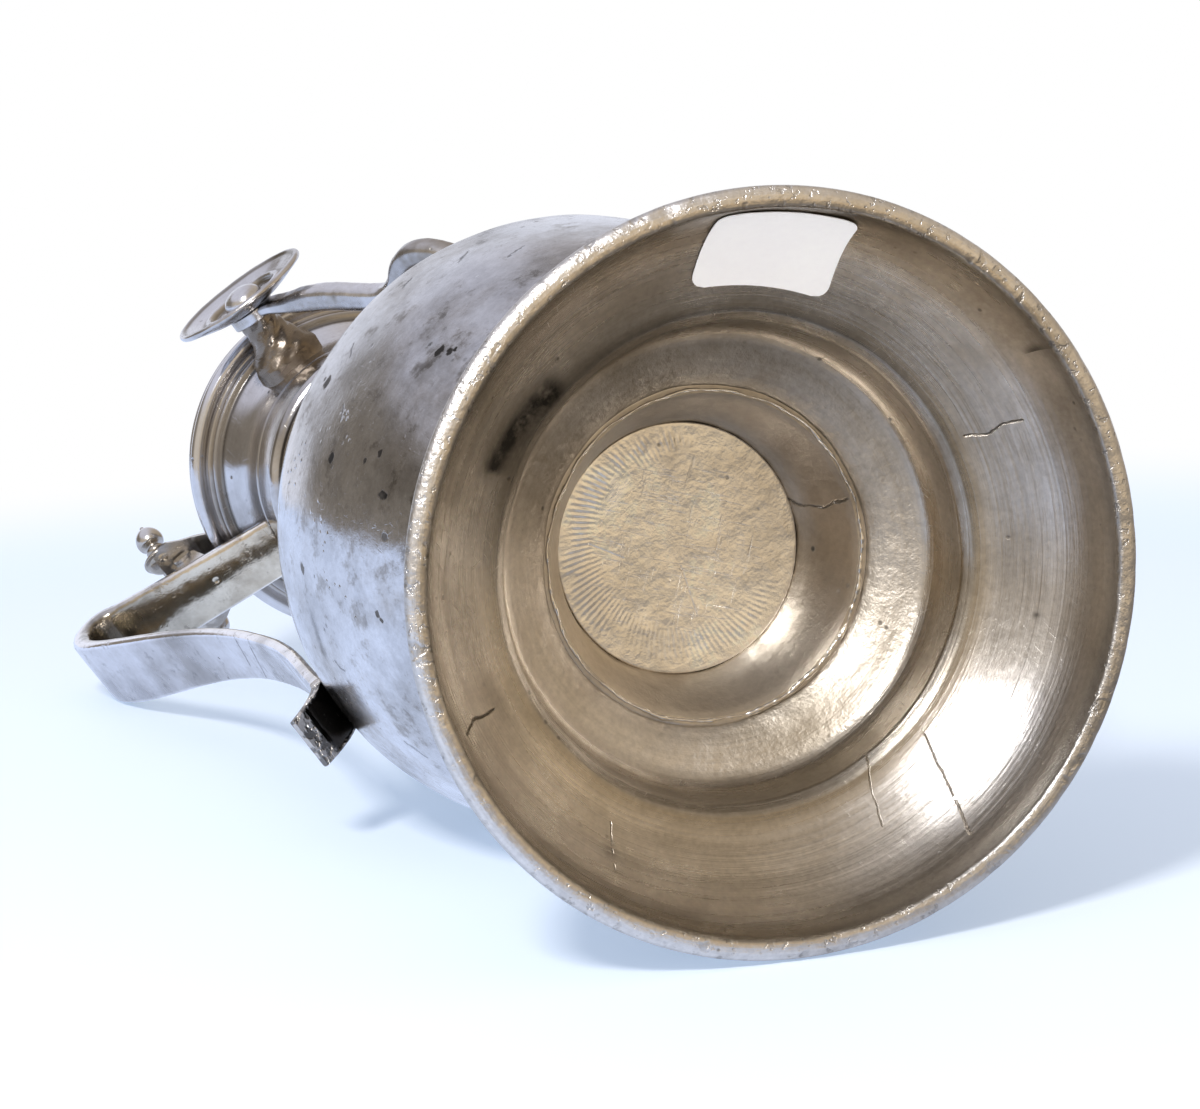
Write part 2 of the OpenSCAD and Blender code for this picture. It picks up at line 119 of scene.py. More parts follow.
def meshFrom(name, points, faces, marks=None, crease=40.0):  # smooth object, sharp past the crease angle
    data = bpy.data.meshes.new(name)
    data.from_pydata(points.tolist(), [], [list(f) for f in faces])
    data.polygons.foreach_set("use_smooth", np.ones(len(data.polygons), bool))
    data.set_sharp_from_angle(angle=math.radians(crease))
    for key, values in (marks or {}).items():
        data.attributes.new(key, "FLOAT", "POINT").data.foreach_set("value", values)
    data.update()
    return link(name, data)


def gridFaces(rows, columns, rowsClosed, columnsClosed):  # quads between neighbouring rows and columns
    i = np.arange(rows if rowsClosed else rows - 1)[:, None]
    j = np.arange(columns if columnsClosed else columns - 1)[None, :]
    a = i * columns + j
    b = i * columns + (j + 1) % columns
    c = ((i + 1) % rows) * columns + (j + 1) % columns
    d = ((i + 1) % rows) * columns + j
    return np.stack(np.broadcast_arrays(a, b, c, d), -1).reshape(-1, 4)


def fan(tip, ring, rising):  # triangles between the tip and each edge of the ring
    edge = (ring, np.roll(ring, -1)) if rising else (np.roll(ring, -1), ring)
    return np.stack([np.full(len(ring), tip), *edge], 1).tolist()


def area(profile):  # signed area of a closed outline, positive when it runs anticlockwise
    r, z = profile[:, 0], profile[:, 1]
    return 0.5 * np.sum(r * np.roll(z, -1) - np.roll(r, -1) * z)


def aroundAxis(profile, around):  # radius, angle and height of each outline point at each step of the turn
    a = np.repeat(np.linspace(0, 2 * math.pi, around, endpoint=False)[None, :], len(profile), 0)
    return np.repeat(profile[:, :1], around, 1), a, np.repeat(profile[:, 1:], around, 1)


def polar(r, a, z):  # points at radius r, angle a and height z
    return np.stack([r * np.cos(a), r * np.sin(a), z], -1)


def turned(name, profile, around, shape=None, marks=None):  # closed (radius, height) outline turned about Z
    order = slice(None, None, -1 if area(profile) < 0 else 1)
    marks = {key: np.repeat(values[order], around) for key, values in (marks or {}).items()}
    r, a, z = aroundAxis(profile[order], around)
    if shape:
        r, z = shape(r, a, z)
    faces = gridFaces(len(profile), around, True, True)
    return meshFrom(name, polar(r, a, z).reshape(-1, 3) * mm, faces, marks)


def capped(name, profile, around, place=np.eye(4), shape=None):  # outline from pole to pole, rising
    body = polar(*aroundAxis(profile[1:-1], around))
    if shape:
        body = shape(body)
    poles = np.array([[0, 0, profile[0, 1]], [0, 0, profile[-1, 1]]])
    points = np.concatenate([body.reshape(-1, 3), poles])
    ring, count = np.arange(around), len(points)
    faces = gridFaces(len(profile) - 2, around, False, True).tolist()
    faces += fan(count - 2, ring, False) + fan(count - 1, ring + count - 2 - around, True)
    return meshFrom(name, (points @ place[:3, :3].T + place[:3, 3]) * mm, faces)


def swept(name, path, side, sections, dents):  # sections (n, m, 2): first along side, second outwards
    out = np.cross(np.gradient(path, axis=0), side)
    out /= np.linalg.norm(out, axis=1)[:, None]
    rows, columns = sections.shape[:2]
    run = runs(path)[:, None]
    wide, thick = (np.abs(sections[..., k]).max(1, keepdims=True) for k in (0, 1))
    across, outer = sections[..., 0] / wide, sections[..., 1] / thick
    beat = lumps(run, across, ((0.5, 0.55, 1.7), (0.35, 1.1, -2.3), (0.25, 2.3, 1.2), (0.12, 4.1, 3.0)), 5)
    height = sections[..., 1] * (1 - dents * (0.5 + 0.5 * beat))
    points = path[:, None] + sections[..., :1] * np.asarray(side) + height[..., None] * out[:, None]
    points = points.reshape(-1, 3)
    ends = np.stack([points[:columns].mean(0), points[-columns:].mean(0)])
    ring, count = np.arange(columns), len(points)
    faces = gridFaces(rows, columns, False, True).tolist()
    faces += fan(count, ring, False) + fan(count + 1, ring + count - columns, True)
    marks = dict(across=np.append(across.ravel(), [0, 0]), outer=np.append(outer.ravel(), [0, 0]))
    return meshFrom(name, np.concatenate([points, ends]) * mm, faces, marks)


def strip(width, thick, soft, count=6, total=56):  # a rectangle with rounded corners, as total points
    corners = ((1, 1, 0), (-1, 1, 90), (-1, -1, 180), (1, -1, 270))
    x, y = width / 2 - soft, thick / 2 - soft
    turns = (arc([i * x, j * y], soft, start, start + 90, count) for i, j, start in corners)
    return spread(chain(*turns), total, True)


def operator(kind, swapped=False):  # a method that adds one maths node
    def method(self, other):
        return self.shader.math(kind, *((other, self) if swapped else (self, other)))
    return method


class Num:  # a value socket that adds, subtracts, multiplies and divides
    def __init__(self, shader, socket):
        self.shader, self.socket = shader, socket

    __add__, __sub__, __mul__ = operator("ADD"), operator("SUBTRACT"), operator("MULTIPLY")
    __radd__, __rmul__ = operator("ADD", True), operator("MULTIPLY", True)
    __rsub__ = operator("SUBTRACT", True)
    __truediv__ = operator("DIVIDE")


class Shader:
    def __init__(self, tree):
        self.tree = tree

    def add(self, kind, settings=None, **inputs):  # one node: settings first, then inputs by name or i-number
        made = self.tree.nodes.new(kind)
        for key, value in (settings or {}).items():
            setattr(made, key, value)
        for key, value in inputs.items():
            numbered = key[0] == "i" and key[1:].isdigit()
            self.plug(made.inputs[int(key[1:]) if numbered else key.replace("_", " ")], value)
        return made

    def plug(self, socket, value):  # a link, or a value that stays as it is
        if isinstance(value, (Num, bpy.types.NodeSocket)):
            self.tree.links.new(getattr(value, "socket", value), socket)
        else:
            socket.default_value = (*value, 1.0) if socket.type == "RGBA" else value

    def math(self, kind, *values):
        made = self.add("ShaderNodeMath", {"operation": kind}, **{f"i{k}": v for k, v in enumerate(values)})
        return Num(self, made.outputs[0])

    def clip(self, value, low, high):
        return self.math("MINIMUM", self.math("MAXIMUM", value, low), high)

    def most(self, first, *others):  # the greatest of the values
        for other in others:
            first = self.math("MAXIMUM", first, other)
        return first

    def step(self, value, low, high):  # smooth step from 0 at low to 1 at high
        made = self.add("ShaderNodeMapRange", {"interpolation_type": "SMOOTHSTEP"}, Value=value, From_Min=low,
                        From_Max=high)
        return Num(self, made.outputs[0])

    def bell(self, value, centre, width):  # exp(-((value - centre) / width)^2)
        away = (value - centre) / width
        return self.math("EXPONENT", away * away * -1.0)

    def blob(self, du, dv, width):  # exp(-(du^2 + dv^2) / width^2)
        return self.math("EXPONENT", (du * du + dv * dv) * (-1.0 / width**2))

    def spot(self, u, v, cu, cv, width):  # round bell in the plane of u and v
        return self.blob(u - cu, v - cv, width)

    def line(self, u, v, points, width):  # bell of the distance to a broken line in the plane of u and v
        bells = []
        for (u0, v0), (u1, v1) in zip(points, points[1:]):
            du, dv = u1 - u0, v1 - v0
            along = self.clip(((u - u0) * du + (v - v0) * dv) / (du * du + dv * dv), 0.0, 1.0)
            bells.append(self.blob(u - u0 - along * du, v - v0 - along * dv, width))
        return self.most(*bells)

    def noise(self, scale, detail=4.0, rough=0.55, vector=None):
        vector = self.place if vector is None else vector
        return Num(self, self.add("ShaderNodeTexNoise", None, Vector=vector, Scale=scale, Detail=detail,
                                  Roughness=rough).outputs[0])

    def patches(self, low, high, *noise):  # where the noise passes from low to high
        return self.step(self.noise(*noise), low, high)

    def streaks(self, x, y, z, detail, rough, vector=None):  # noise of the place times (x, y, z)
        vector = self.place if vector is None else vector
        drawn = self.add("ShaderNodeVectorMath", {"operation": "MULTIPLY"}, i0=vector, i1=(x, y, z))
        return self.noise(1.0, detail, rough, drawn.outputs[0])

    def cells(self, scale):  # distance to the nearest of scattered points
        made = self.add("ShaderNodeTexVoronoi", None, Vector=self.place, Scale=scale)
        return Num(self, made.outputs["Distance"])

    def mix(self, factor, a, b):  # colour a to b
        return self.add("ShaderNodeMix", {"data_type": "RGBA"}, i0=factor, i6=a, i7=b).outputs[2]

    def combine(self, x, y, z):
        return self.add("ShaderNodeCombineXYZ", None, X=x, Y=y, Z=z).outputs[0]

    def mark(self, key):  # a value stored on the mesh
        return Num(self, self.add("ShaderNodeAttribute", {"attribute_name": key}).outputs["Fac"])

    def facing(self, angle, low, high):  # from 0 to 1 where the turn comes near the angle, by its cosine
        return self.step(self.math("COSINE", self.angle - angle), low, high)


def newMaterial(name):  # its shader knows the surface node and the place on the piece
    material = bpy.data.materials.new(name)
    material.use_nodes = True
    shader = Shader(material.node_tree)
    shader.base = shader.tree.nodes["Principled BSDF"]
    shader.place = shader.add("ShaderNodeTexCoord").outputs["Object"]
    return material, shader


plainLook = dict(rough=0.27, grime=0.35, bump=0.00012, ringsBy="radius", ringPitch=1.3, ringDepth=0.35,
                 ringGloss=0.12, ringTone=0.2, fineDepth=0.12, grainDepth=0.03, grainTone=0.15,
                 scratchDepth=0.05, pitDepth=0.5, pitScale=300.0, pitFrom=0.54, patchDepth=0.4)
plainMarks = dict(relief=0.0, rough=0.0, shade=1.0, tone=0.0, warm=0.0)


def pewter(name, look, marks=None):  # tone, gloss and relief vary by noise, turning lines and pits
    look = {**plainLook, **look}
    material, s = newMaterial(name)
    parts = s.add("ShaderNodeSeparateXYZ", None, Vector=s.place)
    s.x, s.y, s.z = (Num(s, parts.outputs[k]) * (1 / mm) for k in range(3))
    if "pivotZ" in look:  # turned about the pivot line, which runs along Y
        s.y, s.z = s.z - look["pivotZ"], s.y
    s.radius = s.math("SQRT", s.x * s.x + s.y * s.y)
    s.angle = s.math("ARCTAN2", s.y, s.x)
    s.cloud, s.patch = s.noise(38.0, 5.0, 0.6), s.noise(11.0, 3.0, 0.5)
    s.grain, s.fine = s.noise(900.0, 3.0, 0.6), s.noise(260.0, 4.0, 0.65)
    wave = s.z if look["ringsBy"] == "z" else s.radius
    cosine, sine = s.math("COSINE", s.angle) * 0.7, s.math("SINE", s.angle) * 0.7
    s.rings = s.noise(1.0, 6.0, 0.66, s.combine(wave * look["ringPitch"], cosine, sine))
    scratches = (s.step(s.streaks(2600.0, 90.0, 260.0, 2.0, 0.5), 0.66, 0.73)
                 + s.step(s.streaks(120.0, 2300.0, 400.0, 2.0, 0.5), 0.66, 0.74)
                 + s.step(s.streaks(500.0, 300.0, 3000.0, 2.0, 0.5), 0.67, 0.74))
    pits = s.step(s.cells(look["pitScale"]), 0.17, 0.06) * s.patches(look["pitFrom"], 0.68, 80.0, 2.0)
    grime = s.step(s.cloud, 0.45, 0.78) * look["grime"]
    more = {**plainMarks, **(marks(s) if marks else {})}
    relief = (s.rings * look["ringDepth"] + s.fine * look["fineDepth"] + s.grain * look["grainDepth"]
              - scratches * look["scratchDepth"] - pits * look["pitDepth"] + s.patch * look["patchDepth"]
              + more["relief"])
    rough = (look["rough"] + (s.cloud - 0.5) * 0.16 + (s.rings - 0.5) * look["ringGloss"] + pits * 0.3
             + grime * 0.1 + scratches * 0.04 + more["rough"])
    shade = (1.0 - pits * 0.6 - grime * 0.6 + (s.rings - 0.5) * look["ringTone"]
             + (s.grain - 0.5) * look["grainTone"]) * more["shade"]
    tone = s.clip(s.step(s.cloud + (s.patch - 0.5) * 0.6, 0.35, 0.7) + more["tone"], 0.0, 1.0)
    colour = s.mix(tone, look["light"], look["dark"])
    if "warm" in look:
        colour = s.mix(s.clip(more["warm"], 0.0, 1.0), colour, s.mix(tone, *look["warm"]))
    scaled = s.add("ShaderNodeVectorMath", {"operation": "SCALE"}, i0=colour, Scale=s.most(shade, 0.06))
    bump = s.add("ShaderNodeBump", None, Strength=1.0, Distance=look["bump"], Height=relief)
    s.plug(s.base.inputs["Base Color"], scaled.outputs[0])
    s.plug(s.base.inputs["Metallic"], 1.0)
    s.plug(s.base.inputs["Roughness"], s.clip(rough, 0.08, 0.85))
    s.plug(s.base.inputs["Normal"], bump.outputs[0])
    return material


def paint(made, material):
    made.data.materials.clear()
    made.data.materials.append(material)


def dress(made, material, body, slot, *replaced):  # material, body, slot (not used) and the nodes it stands for
    paint(made, material)
    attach(made, body)
    if replaced:
        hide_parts(*replaced)


foot = dict(rim=65.0, face=3.8, ridge=41.8, height=38.6, ledge=28.5, waist=34.0, roll=1.6, inset=0.22,
            around=330, along=290, soft=0.3)


def footInside(f):  # from the rim's inner edge up to the recess
    rim, ridge, ledge = f["rim"] - f["face"], f["ridge"], f["ledge"]
    return chain([[rim + 0.6, 0], [rim, 0.6]],
                 bezier([rim, 0.6], [rim - 0.4, 10], [ridge + 10, 19.2], [ridge + 1.6, 21.6]),
                 bezier([ridge, 23.4], [ridge - 0.6, 29.5], [ledge + 11.9, 32.2], [ledge + 8, 34]),
                 bezier([ledge + 8, 34], [ledge + 5, 35.4], [ledge + 2.8, 36.6], [ledge + 1.5, f["height"]]))


def footOutside(f):  # from the waist down to the rolled rim
    rim, ridge, waist, height, roll = f["rim"], f["ridge"], f["waist"], f["height"], f["roll"]
    return chain(bezier([waist + 0.6, height], [f["ledge"] + 12, height - 1.4], [ridge + 1.6, 31],
                        [ridge + 2.7, 25.4]),
                 bezier([ridge + 3.6, 24.4], [ridge + 13, 21.8], [rim - 2.4, 14], [rim - 1.4, 4.6]),
                 arc([rim - roll, 1.75], roll, 60, -75), [[rim - 1.4, 0]])


def footShape(r, a, z):  # faint unevenness, dents along the rim and a nick
    beaten = lumps(a, z * 0.1, ((0.10, 3, 0.4), (0.07, 7, 1.0), (0.05, 12, -2.0), (0.03, 23, 3.0)), 11)
    edge = np.clip(1 - np.abs(z - 0.6) / 3.0, 0, 1) * (r > 60)
    dents = lumps(a, z, ((0.10, 41, 0.3), (0.07, 67, -0.8), (0.06, 97, 1.1)), 12) * edge
    nick = np.exp(-((a - 1.9) / 0.022) ** 2 - ((r - 64.3) / 1.6) ** 2)
    return (r - foot["inset"] + beaten * np.clip((foot["rim"] - r) / 4, 0, 1),
            z + np.clip(dents, 0, 1) + 0.9 * nick * edge)


def nearer(profile, first, second):  # 1 where the outline lies nearer to the first line than to the second
    a, b = (np.linalg.norm(profile[:, None] - line[None], axis=2).min(1) for line in (first, second))
    return (a < b).astype(float)


def footMarks(s):  # cracks, seams, stains and scratches under the foot, with painted shade and painted reflections, in (angle, radius)
    inside, v = s.mark("inside"), s.radius
    deg = math.radians(50.0)  # arc length of one degree at radius 50
    u = s.angle * 50.0
    wobble = (s.fine - 0.5) * 1.3 + (s.cloud - 0.5) * 0.8

    def track(width, *points):
        return s.line(u + wobble, v, [(a * deg, r) for a, r in points], width)

    cracks = s.most(track(0.15, (-169.9, 46.2), (-168.4, 49.5), (-169.4, 52.2), (-168.8, 54.6)),
                    track(0.15, (11.4, 57.7), (12.2, 55.2), (10.9, 50.2)))
    seams = s.most(track(0.14, (-23.0, 49.1), (-24.5, 52.7), (-25.9, 56.8)),
                   track(0.13, (-101.4, 44.6), (-97.5, 50.0), (-94.6, 54.9), (-91.2, 59.2)),
                   track(0.11, (-87.6, 41.8), (-84.3, 45.0), (-80.8, 51.8)))
    stains = (s.spot(u, v, 179.8 * deg, 59.9, 0.9) + s.spot(u, v, -131.9 * deg, 53.5, 0.5)
              + s.spot(u, v, -24.0 * deg, 53.6, 1.3) * 0.6)
    # a painted dark reflection on the flare near the rim, streaked by noise
    paintedDarkReflection = s.line(u + wobble * 2.0, v + wobble, [(80 * deg, 46.0), (71 * deg, 47.0), (60 * deg, 48.2)], 2.4)
    paintedDarkReflection = paintedDarkReflection * s.step(s.fine + s.cloud * 0.6, 0.4, 1.0)
    turning = s.bell(v, 51.0, 4.6) * inside
    rim = s.step(v, 60.6, 61.6)
    rimPits = s.patches(0.56, 0.66, 620.0, 3.0, 0.6) * s.step(s.cloud, 0.3, 0.6) * rim
    nicks = s.patches(0.62, 0.7, 210.0, 2.0, 0.5) * rim
    marks = (cracks + seams * 0.6 * s.step(s.fine, 0.36, 0.5)) * inside
    bands = s.noise(1.0, 2.0, 0.5, s.combine(v * 0.42, s.math("COSINE", s.angle) * 0.5, 0.0)) - 0.5
    # painted shade: dark bands just inside the rim and at the ridge
    hollow = s.bell(v, 59.3, 2.0) * 0.25 + s.bell(v, 42.0, 2.6) * 0.3
    lightZone = s.step(v, 39.5, 37.0) * inside
    # painted shade: darker at the top of the foot and on one side
    upper = s.facing(1.95, 0.2, 0.9) * s.step(v, 52.0, 45.0)
    dim = s.facing(0.9, 0.8, 0.97) * s.step(v, 43.0, 49.0)
    # a painted reflection tint: cooler, less warm and a little rougher on the lamp side
    coolLampSide = s.facing(-2.1, 0.25, 0.95) * s.step(v, 43.0, 48.0)
    # real stains and random bands, together with the painted shade and the painted dark reflection
    stainsAndPaintedShade = (stains * 0.6 + paintedDarkReflection * 0.7 + hollow + upper * 0.28 + dim * 0.22 + bands * 0.5) * inside
    edges = s.bell(v, 61.2, 0.45) * 0.45 + s.step(v, 64.2, 64.8) * 0.3
    return dict(relief=turning * s.rings * 0.9 - marks * 2.2 - rimPits * 0.8 - nicks * 0.9
                + rim * (s.fine * 2.2 + s.grain * 0.4) + lightZone * s.fine * 1.8
                + inside * (s.grain * 0.15 + s.fine * 0.3),
                rough=rimPits * 0.15 + rim * 0.08 + (paintedDarkReflection * 0.1 + lightZone * 0.2 + coolLampSide * 0.06) * inside,
                shade=1.0 - marks * 0.4 - stainsAndPaintedShade - rimPits * 0.3 - nicks * 0.25 + rim * 0.16 - edges
                - lightZone * 0.06,
                tone=rim * -0.6 + bands * 0.5 + coolLampSide * 0.15,
                warm=s.most(inside * (1.0 - coolLampSide * 0.62 + (s.cloud - 0.5) * 0.3), rim * 0.3))


footPewter = pewter("pewter_foot", dict(
    light=(0.68, 0.66, 0.64), dark=(0.52, 0.49, 0.46), warm=((0.62, 0.555, 0.47), (0.47, 0.405, 0.32)),
    rough=0.27, grainTone=0.5, ringPitch=2.1, ringDepth=0.5, ringGloss=0.2, ringTone=0.3, bump=0.00016,
    grime=0.25), footMarks)
footOutline = worn(chain(footInside(foot), footOutside(foot)), foot["along"], foot["soft"])
footPiece = turned("foot_skin", footOutline, foot["around"], footShape,
                   dict(inside=nearer(footOutline, footInside(foot), footOutside(foot))))
dress(footPiece, footPewter, "vessel", "pewter_foot", "foot")
print("foot made")

label = dict(angle=130.4, middle=14.7, width=25.4, height=20.4, corner=3.0, lift=0.16, thick=0.12, skew=0.5,
             curl=0.06, rows=44, columns=60)


def makeLabel(p):  # a bare paper label: rounded rectangle laid on the inside of the foot
    line, rows, columns = footInside(foot), p["rows"], p["columns"]
    high, wide = 0.5 * p["height"], 0.5 * p["width"]
    t = np.linspace(-1, 1, rows)[:, None] * high
    past = np.clip(np.abs(t) - (high - p["corner"]), 0, None)
    half = wide - p["corner"] + np.sqrt(np.maximum(p["corner"]**2 - past**2, 0.02))
    s = np.linspace(-1, 1, columns)[None, :] * half
    along = p["middle"] + t + p["skew"] * s / wide

    def onFoot(along):  # radius and height of the inside line at that distance along it
        return np.array([np.interp(along, runs(line), line[:, k]) for k in (0, 1)])

    r, z = onFoot(along)
    dr, dz = onFoot(along + 0.5) - onFoot(along - 0.5)
    size = np.hypot(dr, dz)
    a = math.radians(p["angle"]) + s / r
    curl = p["curl"] * np.sin(3 * s / wide + 1) * np.cos(2 * t / high)
    sheets = []
    for lift in (p["lift"] + p["thick"] + curl, p["lift"] + curl):
        sheets.append(polar(r - lift * dz / size - foot["inset"], a, z + lift * dr / size).reshape(-1, 3))
    front = gridFaces(rows, columns, False, False)[:, ::-1]
    count = rows * columns
    index = np.arange(count).reshape(rows, columns)
    ring = np.concatenate([index[0], index[1:, -1], index[-1, -2::-1], index[-2:0:-1, 0]])
    turn = np.roll(ring, -1)
    skirt = np.stack([turn, turn + count, ring + count, ring], 1)
    return meshFrom("paper_label", np.concatenate(sheets) * mm,
                    np.concatenate([front, front[:, ::-1] + count, skirt]))


def paper(name, light, dark):  # matt paper with faint fibres
    material, s = newMaterial(name)
    fibre, stain = s.noise(700.0, 4.0, 0.6), s.noise(60.0, 3.0, 0.5)
    bump = s.add("ShaderNodeBump", None, Strength=0.5, Distance=0.00003, Height=fibre)
    s.plug(s.base.inputs["Base Color"], s.mix(s.step(stain * 0.7 + fibre * 0.3, 0.35, 0.7), light, dark))
    s.plug(s.base.inputs["Roughness"], 0.55 + fibre * 0.2)
    s.plug(s.base.inputs["Normal"], bump.outputs[0])
    return material


labelPiece = makeLabel(label)
paint(labelPiece, paper("label_paper", (1.0, 0.995, 1.0), (0.94, 0.93, 0.95)))
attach(labelPiece, "vessel")

belly = dict(waist=34.0, foot=38.6, ledge=28.5, disc=22.65, discZ=53.8, wide=58.8, wideZ=112.0, wall=2.2,
             neck=28.7, neckZ=236.0, inset=0.12, around=320, along=300, soft=0.25)


def bellyOutline(b):  # recess, waist, belly and shoulder outside, then back down inside
    w, z, low, waist = b["wide"], b["wideZ"], b["foot"], b["waist"]
    disc, discZ, ledge = b["disc"], b["discZ"], b["ledge"]
    high, inner, top = b["neck"] - 0.1, w - b["wall"], b["neckZ"]
    outside = chain([[ledge, low], [waist - 0.4, low]],
                    bezier([waist, low + 2.4], [waist + 12, low + 5], [w, z - 36], [w, z], 90),
                    bezier([w, z], [w, z + 15], [high + 9.5, z + 58], [high, top], 90))
    inside = chain(bezier([high - b["wall"], top], [b["neck"] + 7.2, z + 57], [inner, z + 14], [inner, z]),
                   bezier([inner, z], [inner, z - 35], [waist + 11, low + 10], [waist - 0.5, low + 8]))
    recess = chain([[ledge + 1, low + 8], [disc + 2.8, discZ + 2.2], [disc, discZ + 2.2], [disc, discZ]],
                   bezier([disc + 0.35, discZ - 0.3], [disc + 0.95, discZ - 6], [ledge - 1.6, low + 5],
                          [ledge, low + 0.8]))
    return chain(outside, inside, recess)


def bellyShape(r, a, z):  # hand-hammered unevenness that dies out at the ends
    live = np.clip((z - 44) / 12, 0, 1) * np.clip((228 - z) / 20, 0, 1)
    waves = ((0.08, 5, 0.05), (0.05, 9, -0.09), (0.03, 14, 0.16), (0.02, 21, -0.24), (0.012, 33, 0.4))
    dent = 0.3 * np.exp(-((a - 1.18) / 0.16) ** 2 - ((z - 92) / 12) ** 2)
    return r - belly["inset"] * live + live * (lumps(a, z, waves, 21) - dent), z


def bellyMarks(s):  # corrosion pits, stains and scratches, with painted shade on the upper side and in the recess, in (angle, height)
    deg = math.radians(55.0)  # arc length of one degree at radius 55
    wobble = (s.fine - 0.5) * 3.2
    u, v = s.angle * 55.0 + wobble, s.z + (s.noise(190.0, 4.0, 0.7) - 0.5) * 3.4
    recess = s.step(s.z, 56.6, 55.4) * s.step(s.radius, 30.6, 29.6)
    outer = 1.0 - recess

    def cut(width, *points):
        return s.line(u, v, [(a * deg, z) for a, z in points], width)

    holes = s.most(*(s.spot(u, v, a * deg, z, size) for a, z, size in (
        (53.5, 75.5, 0.8), (48.2, 67.0, 1.2), (40.1, 65.4, 1.1), (65.8, 105.7, 1.5), (79.4, 70.0, 1.2),
        (79.9, 67.4, 1.1), (81.1, 66.5, 0.7), (24.5, 69.7, 1.0), (23.4, 68.9, 0.6), (31.6, 99.1, 1.3),
        (56.0, 71.0, 0.8), (52.8, 88.4, 1.4))))
    holes = s.step(holes, 0.35, 0.65) * outer
    cuts = s.most(cut(0.35, (-3.8, 84.6), (-8.2, 81.3)), *(cut(0.28, *ends) for ends in (
        ((60.0, 90.0), (63.0, 92.0)), ((98.0, 96.0), (101.0, 99.0)), ((104.0, 84.0), (108.0, 86.0)),
        ((88.0, 104.0), (91.0, 106.0)), ((72.0, 101.0), (74.5, 103.5)), ((12.0, 92.0), (13.5, 95.0)))))
    smear = cut(1.3, (22.0, 99.2), (15.5, 99.4))
    near = 0.436  # arc length of one degree at radius 25
    crack = [(a * near, r) for a, r in ((-164.5, 22.2), (-160.8, 23.4), (-159.5, 25.4), (-161.7, 28.2))]
    crack = s.line(s.angle * 25.0 + wobble * 0.5, s.radius, crack, 0.16) * recess
    bumps = s.step(s.cells(480.0), 0.28, 0.08) * s.patches(0.6, 0.7, 95.0, 2.0)
    dull, mottle = s.patches(0.42, 0.68, 26.0, 9.0, 0.72), s.patches(0.46, 0.62, 68.0, 7.0, 0.7)
    freckles = s.patches(0.54, 0.66, 150.0, 7.0, 0.72)
    # painted shade: the upper side of the belly and the top of the recess darker, and the whole recess a
    # little darker
    paintedShadeAbove = s.facing(2.0, 0.1, 0.85) * 0.2
    dim = s.facing(2.4, 0.3, 0.9) * recess
    return dict(relief=bumps * outer * 1.2 - holes * 0.12 - cuts * outer * 0.5 - crack * 2.2
                + dull * s.fine * 0.35 + recess * s.fine * 1.2,
                rough=(holes * 0.25 + dull * 0.13 + smear * 0.1 + freckles * 0.05) * outer + recess * 0.2,
                shade=1.0 - holes * 0.62 - (cuts * 0.55 + smear * 0.35 + dull * 0.3 + freckles * 0.3
                                            + mottle * 0.15 + paintedShadeAbove - 0.05) * outer
                - crack * 0.5 - recess * 0.02 - dim * 0.26,
                warm=recess + holes * 0.7 + (dull * 0.65 + freckles * 0.4) * outer)


bellyPewter = pewter("pewter_belly", dict(
    light=(0.71, 0.71, 0.73), dark=(0.56, 0.55, 0.55), warm=((0.60, 0.54, 0.47), (0.45, 0.39, 0.32)),
    rough=0.155, ringsBy="z", ringPitch=1.1, ringDepth=0.10, ringTone=0.08, grime=0.3, bump=0.00014,
    pitScale=240.0, pitFrom=0.48, grainTone=0.35), bellyMarks)
bellyPiece = turned("belly_skin", worn(bellyOutline(belly), belly["along"], belly["soft"]), belly["around"],
                    bellyShape)
dress(bellyPiece, bellyPewter, "vessel", "pewter_body", "belly_lower", "belly_upper")

solder = dict(radius=29.1, height=38.5, thick=0.4, around=420, along=14)


def solderShape(r, a, z):  # a lumpy bead that swells and thins along its length
    swell = 0.55 + 0.55 * np.exp(-((np.abs(a - 4.55)) / 0.9) ** 2)
    swell = swell * (1 + lumps(a, 0, ((0.3, 7, 0), (0.3, 19, 0), (0.25, 43, 0), (0.2, 101, 0)), 31))
    swell = np.clip(swell, 0.2, 1.6)
    r0, z0 = solder["radius"], solder["height"]
    return r0 + (r - r0) * swell + lumps(a, 0, ((0.12, 9, 0), (0.1, 23, 0)), 32), z0 + (z - z0) * swell


solderPewter = pewter("pewter_solder", dict(light=(0.78, 0.74, 0.68), dark=(0.6, 0.54, 0.46), rough=0.2,
                                            ringDepth=0.0, grime=0.3, fineDepth=0.5))
solderRing = turned("recess_solder", arc([solder["radius"], solder["height"]], solder["thick"], 0, 340,
                                         solder["along"]), solder["around"], solderShape)
dress(solderRing, solderPewter, "vessel", "pewter_foot")

bottom = dict(radius=22.6, height=53.8, thick=2.2, edge=0.3, rise=0.4, around=260)


def bottomOutline(b):  # slightly hollow below, rounded at the edge
    r, z, t, e = b["radius"], b["height"], b["thick"], b["edge"]
    below = bezier([0, z + b["rise"]], [r * 0.4, z + b["rise"]], [r * 0.8, z + 0.1], [r - 2 * e, z], 60)
    return chain(below, arc([r - e, z + e], e, -90, 0, 8), [[r, z + t]], [[0, z + t]])


